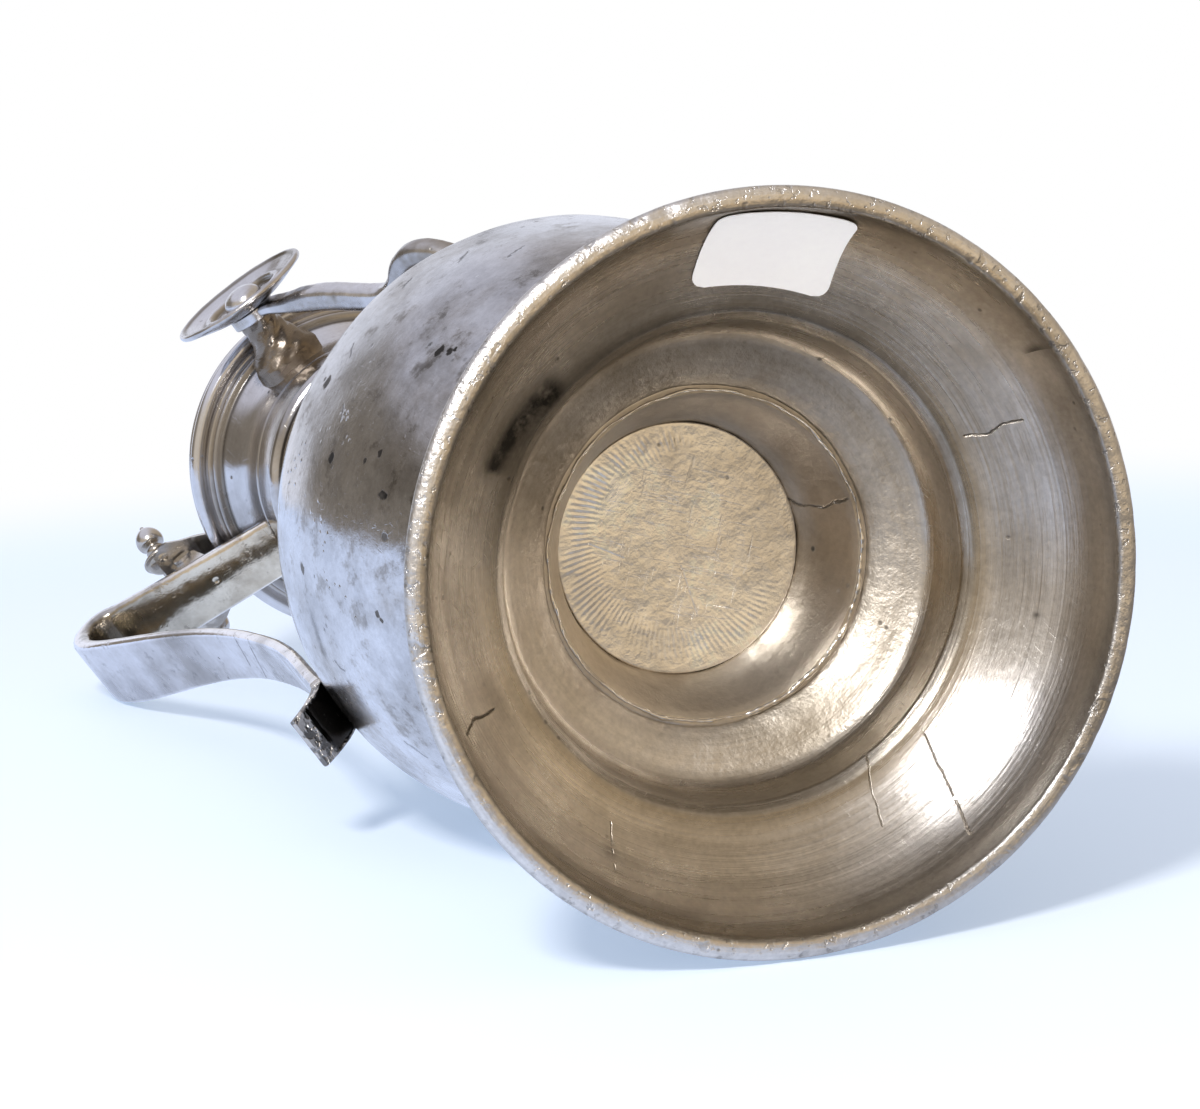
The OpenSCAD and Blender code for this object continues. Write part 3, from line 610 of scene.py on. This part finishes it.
def bottomMarks(s):  # chatter of the turning tool near the edge, and crossing scratches
    r = s.radius
    reach = s.bell(r, 19.2, 2.1) * s.facing(1.1, 0.15, 0.7) * s.patches(0.3, 0.5, 140.0, 2.0)
    chatter = s.math("SINE", s.angle * 116.0 + r * 1.3 + (s.cloud - 0.5) * 6.0) * 0.5 + 0.5
    second = s.bell(r, 15.8, 1.2) * s.facing(-0.5, 0.2, 0.9) * 0.4
    second = second + s.bell(r, 18.6, 1.8) * s.facing(-1.25, 0.5, 0.95) * 0.45
    slant, cross = (
        s.step(s.streaks(*drawn, 3.0, 0.6, s.add("ShaderNodeVectorRotate", {"rotation_type": "Z_AXIS"},
                                                 Vector=s.place, Angle=angle).outputs[0]), low, high)
        for angle, drawn, low, high in ((0.7, (1500.0, 110.0, 110.0), 0.55, 0.8),
                                        (-0.9, (1700.0, 120.0, 120.0), 0.58, 0.82)))
    rubbed = (slant + cross) * s.step(r, 19.5, 12.0)
    hills, clouds = s.noise(150.0, 5.0, 0.62), s.noise(85.0, 3.0, 0.6)
    scored = s.most(s.line(s.x, s.y, [(1.5, -3.0), (4.6, -12.0)], 0.16),
                    s.line(s.x, s.y, [(12.5, 11.0), (9.0, 5.0)], 0.16))
    return dict(relief=(reach + second) * chatter * 1.1 - rubbed * 0.9 - scored * 0.6 + hills * 4.2,
                rough=rubbed * 0.03 + 0.03, tone=(hills - 0.5) * 1.4,
                shade=1.0 - reach * (1.0 - chatter) * 0.1 - scored * 0.06 + (clouds - 0.5) * 0.7)


bottomPewter = pewter("pewter_bottom", dict(
    light=(1.0, 0.96, 0.89), dark=(0.90, 0.84, 0.75), rough=0.27, ringDepth=0.12, ringTone=0.05, bump=0.00012,
    grime=0.15, grainTone=0.3), bottomMarks)
dress(capped("bottom_disc", bottomOutline(bottom), bottom["around"]), bottomPewter, "vessel", "pewter_foot",
      "vessel_bottom")
print("belly and bottom made")

neck = dict(radius=28.7, foot=236.0, mouth=285.4, lip=39.4, wall=2.2, inset=0.1, around=300, along=330,
            lipAlong=220, soft=0.22)
neck["collar"] = neck["mouth"] - 6.2
neck["groove"] = neck["collar"] - 19.6
neck["bore"] = neck["lip"] - 8.2
neck["flare"] = neck["bore"] + 2.1


def neckOutline(n):  # bead, fillets, plain band, groove and hollow flare outside; bore inside
    r, z, groove, collar, flare = n["radius"], n["foot"], n["groove"], n["collar"], n["flare"]
    inner = r - n["inset"] - n["wall"]
    outside = chain([[r + 0.4, z]], arc([r + 0.4, z + 3.4], 2, -80, 80),
                    [[r + 0.3, z + 6.6], [r + 1.2, z + 7.2], [r + 1.2, z + 9], [r + 0.5, z + 9.6]],
                    bezier([r + 0.5, z + 10.6], [r + 0.9, z + 14], [r + 0.9, groove - 4],
                           [r + 0.5, groove - 1.2]),
                    arc([r + 0.5, groove], 0.8, 260, 100),
                    bezier([r + 0.4, groove + 1.2], [r, collar - 9], [flare - 1.6, collar - 6],
                           [flare, collar - 1.8]),
                    [[flare + 1.7, collar - 1.5], [flare + 1.9, collar - 0.9], [flare + 1.7, collar]])
    inside = bezier([n["bore"], collar], [n["bore"] - 3.6, collar - 9], [inner, groove], [inner, z])
    return chain(outside, inside)


def neckMarks(s):  # grime in the grooves; darker, warmer cloudy patches towards the belly
    grooves = s.bell(s.z, neck["foot"] + 6.4, 0.5)
    for z, width in ((neck["foot"] + 10.0, 0.5), (neck["groove"], 0.8), (neck["collar"] - 2.0, 0.7),
                     (neck["foot"] + 0.6, 0.6)):
        grooves = grooves + s.bell(s.z, z, width)
    dull = s.step(s.z, neck["foot"] + 24.0, neck["foot"] + 12.0) * s.step(s.cloud, 0.3, 0.6)
    return dict(shade=1.0 - grooves * 0.6 - dull * 0.3, rough=grooves * 0.12, warm=grooves * 0.6 + dull * 0.4)


brown = ((0.55, 0.48, 0.39), (0.42, 0.35, 0.27))  # tarnish in the grooves of turned pieces
neckPewter = pewter("pewter_neck", dict(
    light=(0.71, 0.70, 0.71), dark=(0.55, 0.53, 0.52), warm=brown, rough=0.13, ringsBy="z", ringPitch=2.2,
    ringDepth=0.22), neckMarks)


def neckShape(r, a, z):
    return r - neck["inset"] + lumps(a, z, ((0.05, 5, 0.1), (0.04, 11, -0.2)), 41), z


dress(turned("neck_skin", worn(neckOutline(neck), neck["along"], neck["soft"]), neck["around"], neckShape),
      neckPewter, "vessel", "pewter_turned", "neck")


def lipOutline(n):  # hollow below, rolled edge, flat mouth
    collar, lip, flare, bore, mouth = n["collar"], n["lip"], n["flare"], n["bore"], n["mouth"]
    return chain([[bore, collar], [flare + 1.2, collar], [flare + 1.5, collar + 0.9]],
                 bezier([flare + 1.9, collar + 1.4], [flare + 2.4, collar + 2], [lip - 3, collar + 1.4],
                        [lip - 1.9, collar + 1.3]),
                 arc([lip - 1.9, collar + 3.2], 1.9, -80, 80), [[lip - 2.6, mouth], [bore, mouth]])


def lipMarks(s):  # grime where the lip meets the collar
    seat = s.bell(s.z, neck["collar"] + 1.3, 0.5) * s.step(s.radius, 38.4, 36.5)
    return dict(shade=1.0 - seat * 0.35, warm=seat * 0.7)


def lipShape(r, a, z):
    return r - 0.06 + lumps(a, z, ((0.05, 4, 0.1), (0.03, 13, 0.3)), 42), z


lipPewter = pewter("pewter_lip", dict(
    light=(0.72, 0.71, 0.72), dark=(0.56, 0.54, 0.53), warm=brown, rough=0.15, ringPitch=2.4,
    ringDepth=0.25), lipMarks)
dress(turned("lip_skin", worn(lipOutline(neck), neck["lipAlong"], neck["soft"]), neck["around"], lipShape),
      lipPewter, "vessel", "pewter_turned", "lip_collar")
print("neck and lip made")

strap = dict(width=13.6, bendWidth=17.0, lowWidth=12.0, thick=3.0, bendThick=5.0, reach=75.6, slope=0.755,
             sink=1.5, crown=1.3, side=(0, 1, 0), fine=6, along=420, dents=0.05)
tailRoot = np.array([belly["wide"] - 1.1, belly["wideZ"] + 13])


def rampHeight(x):  # height of the upper arm's middle line above reach x
    return neck["mouth"] - 19.9 + (x - neck["radius"]) * strap["slope"]


def strapPath(p):  # straight ramp, tight bend, long lower arm; each point with its index along the strap
    reach, fine = p["reach"], p["fine"]
    x = reach - 11.6
    z = rampHeight(x)
    low = z - 12.5
    root = np.array([neck["radius"] - p["sink"], rampHeight(neck["radius"] - p["sink"])])
    ramp = root + (np.array([x, z]) - root) * np.linspace(0, 1, 6 * fine + 1)[:-1, None]
    bend = bezier([x, z], [x + 4.5, z + 3.4], [reach - 0.4, z + 2.1], [reach + 0.4, z - 8.5], 14 * fine)
    arm = bezier([reach + 0.6, low], [reach - 0.5, low - 22], [reach - 18, low - 46],
                 [reach - 20.6, low - 92], 22 * fine)
    end = bezier([reach - 20.9, low - 97], [reach - 22.4, low - 122], tailRoot + [-1.4, 22], tailRoot,
                 12 * fine)
    parts = ((ramp, 0, 5.9), (bend, 6, 20), (arm, 21, 43), (end, 44, 56))
    index = np.concatenate([np.linspace(a, b, len(part)) for part, a, b in parts])
    keep = spread(np.column_stack([chain(ramp, bend, arm, end), index]), p["along"], False)
    return keep[:, :2], keep[:, 2]


def strapSizes(p, i):  # widest and thickest at the bend
    width = np.where(i < 18, ease(i, 0, 12, p["width"], p["bendWidth"]),
                     ease(i, 24, 44, p["bendWidth"], p["lowWidth"]))
    thick = np.where(i < 14, ease(i, 4.5, 11, p["thick"], p["bendThick"]),
                     ease(i, 17, 26, p["bendThick"], p["thick"]))
    return width - 0.1, thick - 0.06


def strapMarks(s):  # bright rubbed edges, warm tarnish on the inner face with painted shade towards the bend and a painted highlight near the neck, dents, deep crossing scratches
    outer, across = s.mark("outer"), s.mark("across")
    edge = s.step(s.math("ABSOLUTE", across), 0.86, 0.97)
    inner = s.step(outer, 0.1, -0.5)
    low = s.step(s.z, 262.0, 240.0) * s.step(outer, 0.2, 0.8)
    long = s.streaks(500.0, 620.0, 26.0, 4.0, 0.6) - 0.5
    dull, worm = s.patches(0.42, 0.66, 75.0, 4.0, 0.6), s.patches(0.57, 0.68, 190.0, 5.0, 0.7)
    lumpy = s.noise(95.0, 2.0, 0.5) * inner
    slant = s.most(s.line(s.z, s.y, [(196.0, -5.0), (189.0, 4.0)], 0.22),
                   s.line(s.z, s.y, [(201.0, -2.0), (197.0, 5.0)], 0.18))
    hole = s.spot(s.x, s.y, 44.0, 1.0, 0.5) * inner
    return dict(relief=long * 0.3 - worm * 0.25 - slant * low * 1.2 - hole * 2.0 + s.cloud * 0.6
                + lumpy * 2.4,
                rough=edge * -0.06 + dull * 0.06 - inner * 0.02,
                shade=1.0 + edge * 0.2 - dull * 0.22 - worm * 0.28 - slant * low * 0.5 - hole * 0.7
                # painted shade on the inner face towards the bend, and a painted highlight on it near the
                # neck
                - s.step(s.x, 52.0, 72.0) * inner * (0.5 + dull * 0.2)
                + s.step(s.x, 50.0, 38.0) * inner * 0.3,
                warm=inner * (1.0 - edge * 0.5) + dull * low * 0.2, tone=long * 0.6 - edge * 0.6)


unturned = dict(ringDepth=0.0, ringTone=0.0)  # no turning lines
strapPewter = pewter("pewter_strap", dict(
    unturned, light=(0.74, 0.73, 0.75), dark=(0.56, 0.54, 0.54),
    warm=((0.72, 0.65, 0.53), (0.50, 0.43, 0.33)), rough=0.2, grime=0.3, bump=0.00018), strapMarks)
strapLine, index = strapPath(strap)
widths, thicks = strapSizes(strap, index)
sections = np.stack([strip(w, t, t * 0.36) for w, t in zip(widths, thicks)])
crown = ease(index, 4, 8, strap["crown"], 0.7) * ease(index, 18, 30, 1, 0.25)
bulge = crown[:, None] * (1 - (2 * sections[..., 0] / widths[:, None]) ** 2)
sections[..., 1] -= np.where(sections[..., 1] < 0, bulge, 0)


def inPlane(line):  # points in the handle's plane
    return np.column_stack([line[:, 0], 0 * line[:, 0], line[:, 1]])


dress(swept("strap_skin", inPlane(strapLine), strap["side"], sections, strap["dents"]), strapPewter, "vessel",
      "pewter_strap", "handle_strap")

tail = dict(width=12.0, tipWidth=11.2, thick=3.0, tipThick=1.5, rows=70)


def tailMarks(s):  # face and underside darkened: painted shade and painted dark reflection over oxide; silvery bevel at the sides and tip
    across, outer = s.mark("across"), s.mark("outer")
    blotch = s.patches(0.44, 0.56, 380.0, 3.0, 0.6)
    uneven = (s.cloud - 0.5) * 0.9 + (s.fine - 0.5) * 0.3
    edge = s.most(s.step(s.math("ABSOLUTE", across) + uneven, 0.84, 0.93),
                  s.step(s.z + uneven * 2.0, 114.9, 114.2))
    face = s.step(outer, 0.0, 0.6) * (1.0 - edge)
    under = s.step(outer, 0.0, -0.6) * (1.0 - edge)
    # painted shade and painted dark reflection on the face and underside, over oxide
    return dict(shade=1.0 - face * (0.9 - s.cloud * 0.1) - under * 0.85 + edge * (0.15 - blotch * 0.75),
                rough=face * 0.3 - edge * 0.05,
                relief=edge * (s.cloud * 2.5 + s.fine * 4.0 - blotch * 1.5 + 1.5),
                warm=face * 0.4 + under * 0.5 + edge * 0.3)


tailPewter = pewter("pewter_tail", dict(
    unturned, light=(0.74, 0.72, 0.70), dark=(0.55, 0.52, 0.48), warm=((0.5, 0.42, 0.32), (0.36, 0.29, 0.2)),
    rough=0.24, grime=0.4, bump=0.0002), tailMarks)
tailLine = bezier(tailRoot + [0, -0.12], tailRoot + [0.3, -4.6], tailRoot + [5, -9.4],
                  tailRoot + [9.6, -11.8], tail["rows"] - 1)
tailSections = np.stack([strip(tail["width"] + (tail["tipWidth"] - tail["width"]) * t - 0.08,
                               tail["thick"] + (tail["tipThick"] - tail["thick"]) * t - 0.04, 0.4)
                         for t in np.linspace(0, 1, tail["rows"])])
dress(swept("tail_skin", inPlane(tailLine), strap["side"], tailSections, strap["dents"]), tailPewter,
      "vessel", "pewter_dark", "handle_tail")
print("handle made")

bail = dict(pivot=271.4, half=44.1, reach=78.4, width=5.6, breadth=6.2, eye=2.6, eyeRadius=5.6, rest=60.0,
            pin=2.5, disc=16.8, gap=0.2, each=14)
bail["line"] = [(along, bail["half"] - inwards, part) for along, inwards, part in (
    (2, 0, 0), (7, 0.1, 0.05), (12.5, 1.4, 0.4), (18, 2.4, 0.85), (24, 3.9, 1), (30, 6, 1), (36, 8.4, 0.95),
    (41.6, 9.7, 0.85), (46.6, 8.4, 0.9), (50.6, 5.6, 1), (55.4, 4.1, 1), (60.4, 5, 1),
    (bail["reach"] - 13, 8.4, 1), (bail["reach"] - 7.4, 15, 1), (bail["reach"] - 3, 24, 1),
    (bail["reach"] - 0.6, 34, 1), (bail["reach"], bail["half"], 1))]  # part: 0 is the eye, 1 the full breadth


def bailPiece(b):  # flat bar along the line and its mirror image, in the plane in which it hangs
    half = spline(b["line"], b["each"])
    line = np.concatenate([half, half[-2::-1] * [1, -1, 1]])
    rest = math.radians(b["rest"])
    ahead, side = [-math.cos(rest), 0, -math.sin(rest)], [math.sin(rest), 0, -math.cos(rest)]
    path = [0, 0, b["pivot"]] + line[:, 1:2] * [0, 1, 0] + line[:, :1] * ahead
    thick = b["eye"] + (b["breadth"] - b["eye"]) * line[:, 2]
    crossings = np.stack([strip(b["width"] - 0.06, t - 0.06, 0.36 * t) for t in thick])
    return swept("bail_skin", path, side, crossings, strap["dents"])


def bailMarks(s):  # dull patches, edges rubbed bright
    edge = s.step(s.math("ABSOLUTE", s.mark("outer")), 0.85, 0.97)
    dull = s.patches(0.42, 0.66, 70.0, 4.0, 0.6)
    return dict(shade=1.0 - dull * 0.3 + edge * 0.1, rough=dull * 0.08, warm=dull * 0.6, relief=s.cloud * 1.5)


bailPewter = pewter("pewter_bail", dict(
    unturned, light=(0.70, 0.69, 0.70), dark=(0.50, 0.48, 0.47),
    warm=((0.56, 0.49, 0.39), (0.40, 0.33, 0.24)), rough=0.23, bump=0.00018), bailMarks)
dress(bailPiece(bail), bailPewter, "bail", "pewter_cast", "bail_strap")


def pivotPlace(side):  # turns +Z to the pivot line's +Y or -Y end
    return np.array([[1, 0, 0, 0], [0, 0, side, 0], [0, -side, 0, bail["pivot"]], [0, 0, 0, 1.0]])


def eyeOutline(b):  # washer with softened edges, from the pin's bore out
    low, high = b["half"] - b["eye"] / 2 + 0.02, b["half"] + b["eye"] / 2 - 0.02
    bore, rim = b["pin"] + 0.08, b["eyeRadius"] - 0.02
    return worn(chain([[bore, low], [rim, low], [rim, high], [bore, high]]), 64, 0.2)


lug = dict(root=8.2, waist=4.0, end=4.5, flat=8.0, around=180)
lug["face"] = bail["half"] - bail["eye"] / 2 - bail["gap"]


def lugOutline(p):  # waisted round form from inside the neck wall to the eye
    face, root, inner = p["face"], p["root"], neck["radius"] - 1.4
    return chain([[0, inner], [root, inner]],
                 bezier([root, face - 11], [root - 1.6, face - 6], [p["waist"], face - 6.5],
                        [p["end"], face], 60), [[0, face]])


def lugShape(body):  # cut flat above and below, uneven by hand
    body[..., 1] = lug["flat"] * np.tanh(body[..., 1] / lug["flat"])
    beat = lumps(np.arctan2(body[..., 1], body[..., 0]), body[..., 2], ((0.30, 3, 0.9), (0.22, 7, -1.7)), 51)
    size = np.maximum(np.hypot(body[..., 0], body[..., 1]), 0.5)
    body[..., :2] *= (1 - (0.14 + beat * 0.8) / size * 0.7)[..., None]
    return body


def lugMarks(s):  # brown tarnish, darkest towards the eye
    y = s.math("ABSOLUTE", s.y)
    return dict(shade=0.8 - s.step(y, 36.0, 41.0) * 0.2, warm=0.9 + (s.cloud - 0.5) * 0.8,
                relief=s.cloud * 3.0 + s.fine * 1.2)


lugPewter = pewter("pewter_lug", dict(
    unturned, light=(0.68, 0.65, 0.62), dark=(0.45, 0.42, 0.38),
    warm=((0.36, 0.295, 0.23), (0.14, 0.11, 0.085)), rough=0.27, grime=0.6, bump=0.0002), lugMarks)


def discOutline(b):  # back plate, rolled rim, dished face with a ring, domed boss
    r = b["disc"]
    line = chain([[0, 0], [5, 0]], bezier([6, 0.1], [10, 0.6], [13, 2], [r - 0.7, 3]),
                 arc([r - 0.8, 3.7], 0.75, -60, 120),
                 bezier([r - 1.6, 4], [13, 3.2], [12, 2.6], [10.6, 2.3]), arc([9.6, 2.3], 0.9, 20, 160),
                 [[8.2, 1.7], [5.4, 1.6]], bezier([4.8, 2], [4.8, 3.8], [3, 5.2], [0, 5.3]))
    return wornToAxis(line, 190, 0.12, 0.03) + [0, b["half"] + b["eye"] / 2 + b["gap"]]


def discShape(body):  # slightly buckled towards the rim
    a, r = np.arctan2(body[..., 1], body[..., 0]), np.hypot(body[..., 0], body[..., 1])
    buckle = lumps(a, r, ((0.05, 3, 0.2), (0.04, 7, -0.5), (0.03, 19, 0.8)), 61)
    body[..., 2] += buckle * np.clip(r / 8, 0, 1) * 0.5
    return body


def discMarks(s):  # grime in the three grooves
    grooves = s.bell(s.radius, 8.3, 0.5) + s.bell(s.radius, 10.9, 0.5) + s.bell(s.radius, 15.2, 0.5)
    return dict(shade=1.0 - grooves * 0.5, warm=grooves * 0.7 + s.step(s.cloud, 0.5, 0.7) * 0.3)


discPewter = pewter("pewter_disc", dict(
    light=(0.72, 0.71, 0.72), dark=(0.52, 0.50, 0.49), warm=((0.52, 0.45, 0.35), (0.38, 0.32, 0.24)),
    rough=0.2, pivotZ=bail["pivot"], ringPitch=3.0, ringDepth=0.5), discMarks)
for side, word in sides:
    place = pivotPlace(side)
    dress(capped("disc_skin_" + word, discOutline(bail), 200, place, discShape), discPewter, "vessel",
          "pewter_turned", "bail_disc_" + word)
    dress(capped("lug_skin_" + word, lugOutline(lug), lug["around"], place, lugShape), lugPewter, "vessel",
          "pewter_cast", "bail_lug_" + word)
    eye = turned("bail_eye_" + word, eyeOutline(bail), 96)
    eye.data.transform(Matrix([[*row[:3], row[3] * mm] for row in place.tolist()]))
    dress(eye, bailPewter, "bail", "pewter_cast")
    paint(nodes["bail_pin_" + word], lugPewter)
print("bail made")

lid = dict(radius=38.8, dome=8.0, base=neck["mouth"] + 0.3, hingeX=45.5, along=300, soft=0.16, around=260)
lid["flat"] = lid["base"] + 2.7
lid["domeRadius"] = lid["radius"] - 7.6


def lidOutline(p):  # hollow below, rolled edge, flat ring, step and low dome
    r, z, d, flat = p["radius"], p["base"], p["domeRadius"], p["flat"]
    top = z + p["dome"]
    line = chain(bezier([0, top - 1.6], [d * 0.5, top - 1.6], [d - 4, z + 2.6], [d - 3, z]), [[r - 0.8, z]],
                 arc([r - 1.1, z + 1.1], 1.1, -60, 80), [[r - 2.4, flat], [d, flat], [d - 0.6, flat + 1.6]],
                 bezier([d - 2.2, flat + 1.9], [d - 8, flat + 3], [d * 0.4, top + 1.4], [0, top + 1.4]))
    return wornToAxis(line, p["along"], p["soft"], 0.04)


def lidMarks(s):  # grime at the step and in two turned lines
    r = s.radius
    steps = s.bell(r, lid["domeRadius"] + 0.4, 0.6) + s.bell(r, 12.0, 0.4) * 0.5 + s.bell(r, 22.0, 0.35) * 0.5
    lines = s.bell(r, 12.6, 0.3) + s.bell(r, 22.5, 0.3)
    return dict(shade=1.0 - steps * 0.4, relief=lines * -0.8, warm=steps * 0.5)


lidPewter = pewter("pewter_lid", dict(
    light=(0.71, 0.70, 0.71), dark=(0.55, 0.53, 0.52), warm=brown, rough=0.22, ringPitch=2.4), lidMarks)
dress(capped("lid_skin", lidOutline(lid), lid["around"]), lidPewter, "lid", "pewter_lid", "lid_plate")

acorn = dict(length=11.0, lean=45.7, tilt=8.3, x=lid["hingeX"] + 3.2, y=8.2, z=neck["mouth"] + 9.4,
             along=110, soft=0.1, around=110)


def acornOutline(p):  # rounded back, flange, waist, bead and pointed nut
    end = p["length"]
    line = chain([[0, -2.5]], bezier([1, -2.5], [2.6, -2.4], [3.6, -1.4], [3.9, -0.4], 20),
                 arc([4, 0.3], 0.5, -60, 80, 12), [[2.4, 1], [1.6, 1.6]], arc([1.3, 2.9], 1.2, -60, 60, 14),
                 [[1.4, 4.2], [1.5, 4.6]], bezier([2.9, 5], [3.9, 6.6], [2.9, 9], [0.7, end - 0.9], 40),
                 arc([0, end - 0.6], 0.6, 0, 90, 6))
    return wornToAxis(line, p["along"], p["soft"], 0.02)


def acornPlace(p, side):  # tilted in the hinge's plane, then leaned outwards
    lean, tilt = math.radians(-side * p["lean"]), math.radians(-p["tilt"])
    turn = Matrix.Rotation(lean, 4, "X") @ Matrix.Rotation(tilt, 4, "Y")
    turn.translation = (p["x"], side * p["y"], p["z"])
    return np.array(turn)


def castMarks(s):  # cloudy surface with warm patches
    return dict(relief=s.cloud * 1.4, warm=s.step(s.cloud, 0.45, 0.65) * 0.5)


castPewter = pewter("pewter_cast", dict(
    unturned, light=(0.73, 0.71, 0.70), dark=(0.50, 0.47, 0.43),
    warm=((0.58, 0.50, 0.38), (0.40, 0.33, 0.23)), rough=0.2, grime=0.5, bump=0.00016), castMarks)
for side, word in sides:
    dress(capped("acorn_skin_" + word, acornOutline(acorn), acorn["around"], acornPlace(acorn, side)),
          castPewter, "lid", "pewter_cast", "acorn_" + word)
for name in ("lid_lever", "thumb_bar", "hinge_base", "hinge_pin"):
    paint(nodes[name], castPewter)
paint(nodes["lid_bezel"], lidPewter)
print("lid made")

view = dict(right=(-0.753795, -0.580270, -0.308351), down=(0.630492, -0.770890, -0.090601),
            forward=(-0.185132, -0.262707, 0.946949), place=(143.412, 194.791, -618.113),
            focus=4000.0, across=1200.0, sensor=36.0)
# pale, shaded and edge are painted reflection colours that the table glows with for glossy rays
table = dict(down=(0.5562, -0.8293, 0.0533), depth=65.0, height=149.5738, size=900.0, near=250.0, far=480.0,
             dim=(0.30, 0.44), aside=(-0.05, 0.11), ahead=0.6, glow=0.34, mirrored=0.9,
             cloth=((0.93, 0.97, 1.0), (0.96, 0.985, 1.0)), shade=(0.72, 0.98, 1.36), pale=(0.74, 0.87, 1.16),
             shaded=(0.13, 0.105, 0.08), edge=(0.21, 0.18, 0.145))
white = (1.0, 1.0, 1.0)


def unit(v):
    return np.array(v) / np.linalg.norm(v)


def tableMiddle(t):  # the point of the plane below the axis at the given height
    down, above = unit(t["down"]), np.array([0, 0, t["height"]])
    return above + down * (t["depth"] - above @ down)


def tableWhite(t, middle):  # pale in the camera; to glossy rays mostly a glow of painted reflection colours, dimmer at one side; clear from below
    material, s = newMaterial("table_white")
    s.plug(s.base.inputs["Base Color"], s.mix(s.noise(3.0, 2.0, 0.5), *t["cloth"]))
    s.plug(s.base.inputs["Roughness"], 0.6)
    s.plug(s.base.inputs["Specular IOR Level"], 0.2)
    path = s.add("ShaderNodeLightPath").outputs
    seen = Num(s, path["Is Camera Ray"])
    mirrored = Num(s, path["Is Glossy Ray"]) + path["Is Transmission Ray"]

    def measure(kind, vector):  # distance from, or dot product with, the vector
        return Num(s, s.add("ShaderNodeVectorMath", {"operation": kind}, i0=s.place,
                            i1=tuple(vector)).outputs["Value"])

    away = measure("DISTANCE", middle * mm)
    aside = measure("DOT_PRODUCT", np.array(view["right"]) - t["ahead"] * np.array(view["forward"]))
    far = s.step(away, t["near"] * mm, t["far"] * mm)
    # painted reflection colours for glossy rays: dark brown near the vessel, a little lighter farther off,
    # pale blue at the other side
    tint = s.mix(s.step(away, *t["dim"]), t["shaded"], t["edge"])
    tint = s.mix(s.step(aside, *t["aside"]), t["pale"], tint)
    tint = s.mix(seen, tint, s.mix(far, t["shade"], white))
    glow = s.add("ShaderNodeEmission", None, Color=tint, Strength=1.0)
    share = seen * (t["glow"] + far * (1.0 - t["glow"])) + mirrored * t["mirrored"]
    lit = s.add("ShaderNodeMixShader", None, i0=share, i1=s.base.outputs[0], i2=glow.outputs[0])
    back = s.add("ShaderNodeNewGeometry").outputs["Backfacing"]
    clear = s.add("ShaderNodeBsdfTransparent")
    mixed = s.add("ShaderNodeMixShader", None, i0=back, i1=lit.outputs[0], i2=clear.outputs[0])
    s.plug(s.tree.nodes["Material Output"].inputs["Surface"], mixed.outputs[0])
    return material


def makeTable(t):  # a square plane that the lying vessel touches in three places
    down, middle = unit(t["down"]), tableMiddle(t)
    first = unit(np.cross(down, [0, 0, 1.0]))
    second = np.cross(down, first)
    corners = [middle + t["size"] * (i * first + j * second) for i, j in ((-1, -1), (1, -1), (1, 1), (-1, 1))]
    made = meshFrom("table_top", np.array(corners) * mm, [[3, 2, 1, 0]])
    paint(made, tableWhite(t, middle))


makeTable(table)

room = dict(backdrop=(0.90, 0.93, 1.04), dim=(0.25, 0.22, 0.185), side=(0.44, 0.37, 0.29),
            viewer=(0.67, 0.60, 0.51), wall=(0.86, 0.69, 0.47), ceiling=(0.74, 0.75, 0.86),
            beam=(0.56, 0.49, 0.41))
world = bpy.data.worlds.new("surroundings")
bpy.context.scene.world = world
world.use_nodes = True
sky = Shader(world.node_tree)
sky.tree.nodes.clear()
direction = sky.add("ShaderNodeTexCoord").outputs["Generated"]


def towards(v):  # dot product of the direction with v as a unit vector
    made = sky.add("ShaderNodeVectorMath", {"operation": "DOT_PRODUCT"}, i0=direction, i1=tuple(unit(v)))
    return Num(sky, made.outputs["Value"])


def surroundings(r):  # bright backdrop ahead, dim room at the left, warm wall behind the viewer, pale ceiling
    ahead, across, up = towards(view["forward"]), towards(view["right"]), towards(-np.array(table["down"]))
    behind = sky.mix(sky.step(across, -0.2, 0.6), r["viewer"], r["wall"])
    beside = sky.mix(sky.step(across, -0.1, 0.5), r["dim"], r["side"])
    level = sky.mix(sky.step(ahead, -0.45, 0.05), behind, beside)
    level = sky.mix(sky.step(ahead, 0.70, 0.75), level, r["backdrop"])
    above = sky.mix(sky.step(across, -0.4, 0.3), r["ceiling"], r["beam"])
    return sky.mix(sky.step(up, 0.30, 0.52), level, above)


seen = sky.add("ShaderNodeLightPath").outputs["Is Camera Ray"]
shown = sky.mix(seen, surroundings(room), white)
back = sky.add("ShaderNodeBackground", None, Color=shown, Strength=1.0)
sky.add("ShaderNodeOutputWorld", None, Surface=back.outputs[0])


def aim(made, place, turn):
    made.location = Vector(place) * mm
    made.rotation_mode = "QUATERNION"
    made.rotation_quaternion = turn


lamp = dict(place=(69, 992, -674), target=(0, 0, 60), size=210, power=14.0, colour=(0.95, 0.97, 1.0))


def makeWindow(p):  # a square lamp that faces the target
    data = bpy.data.lights.new("window", "AREA")
    data.shape = "RECTANGLE"
    data.size = data.size_y = p["size"] * mm
    data.energy, data.color = p["power"], p["colour"]
    aim(link("window", data), p["place"], (Vector(p["target"]) - Vector(p["place"])).to_track_quat("-Z", "Y"))


def makeCamera(v):
    data = bpy.data.cameras.new("camera")
    data.sensor_width = v["sensor"]
    data.lens = v["sensor"] * v["focus"] / v["across"]
    data.clip_start, data.clip_end = 0.01, 20.0
    made = link("camera", data)
    turn = Matrix((Vector(v["right"]), -Vector(v["down"]), -Vector(v["forward"]))).transposed()
    aim(made, v["place"], turn.to_quaternion())
    bpy.context.scene.camera = made


makeWindow(lamp)
makeCamera(view)
bpy.context.scene.view_settings.view_transform = "Standard"
print("stage made")
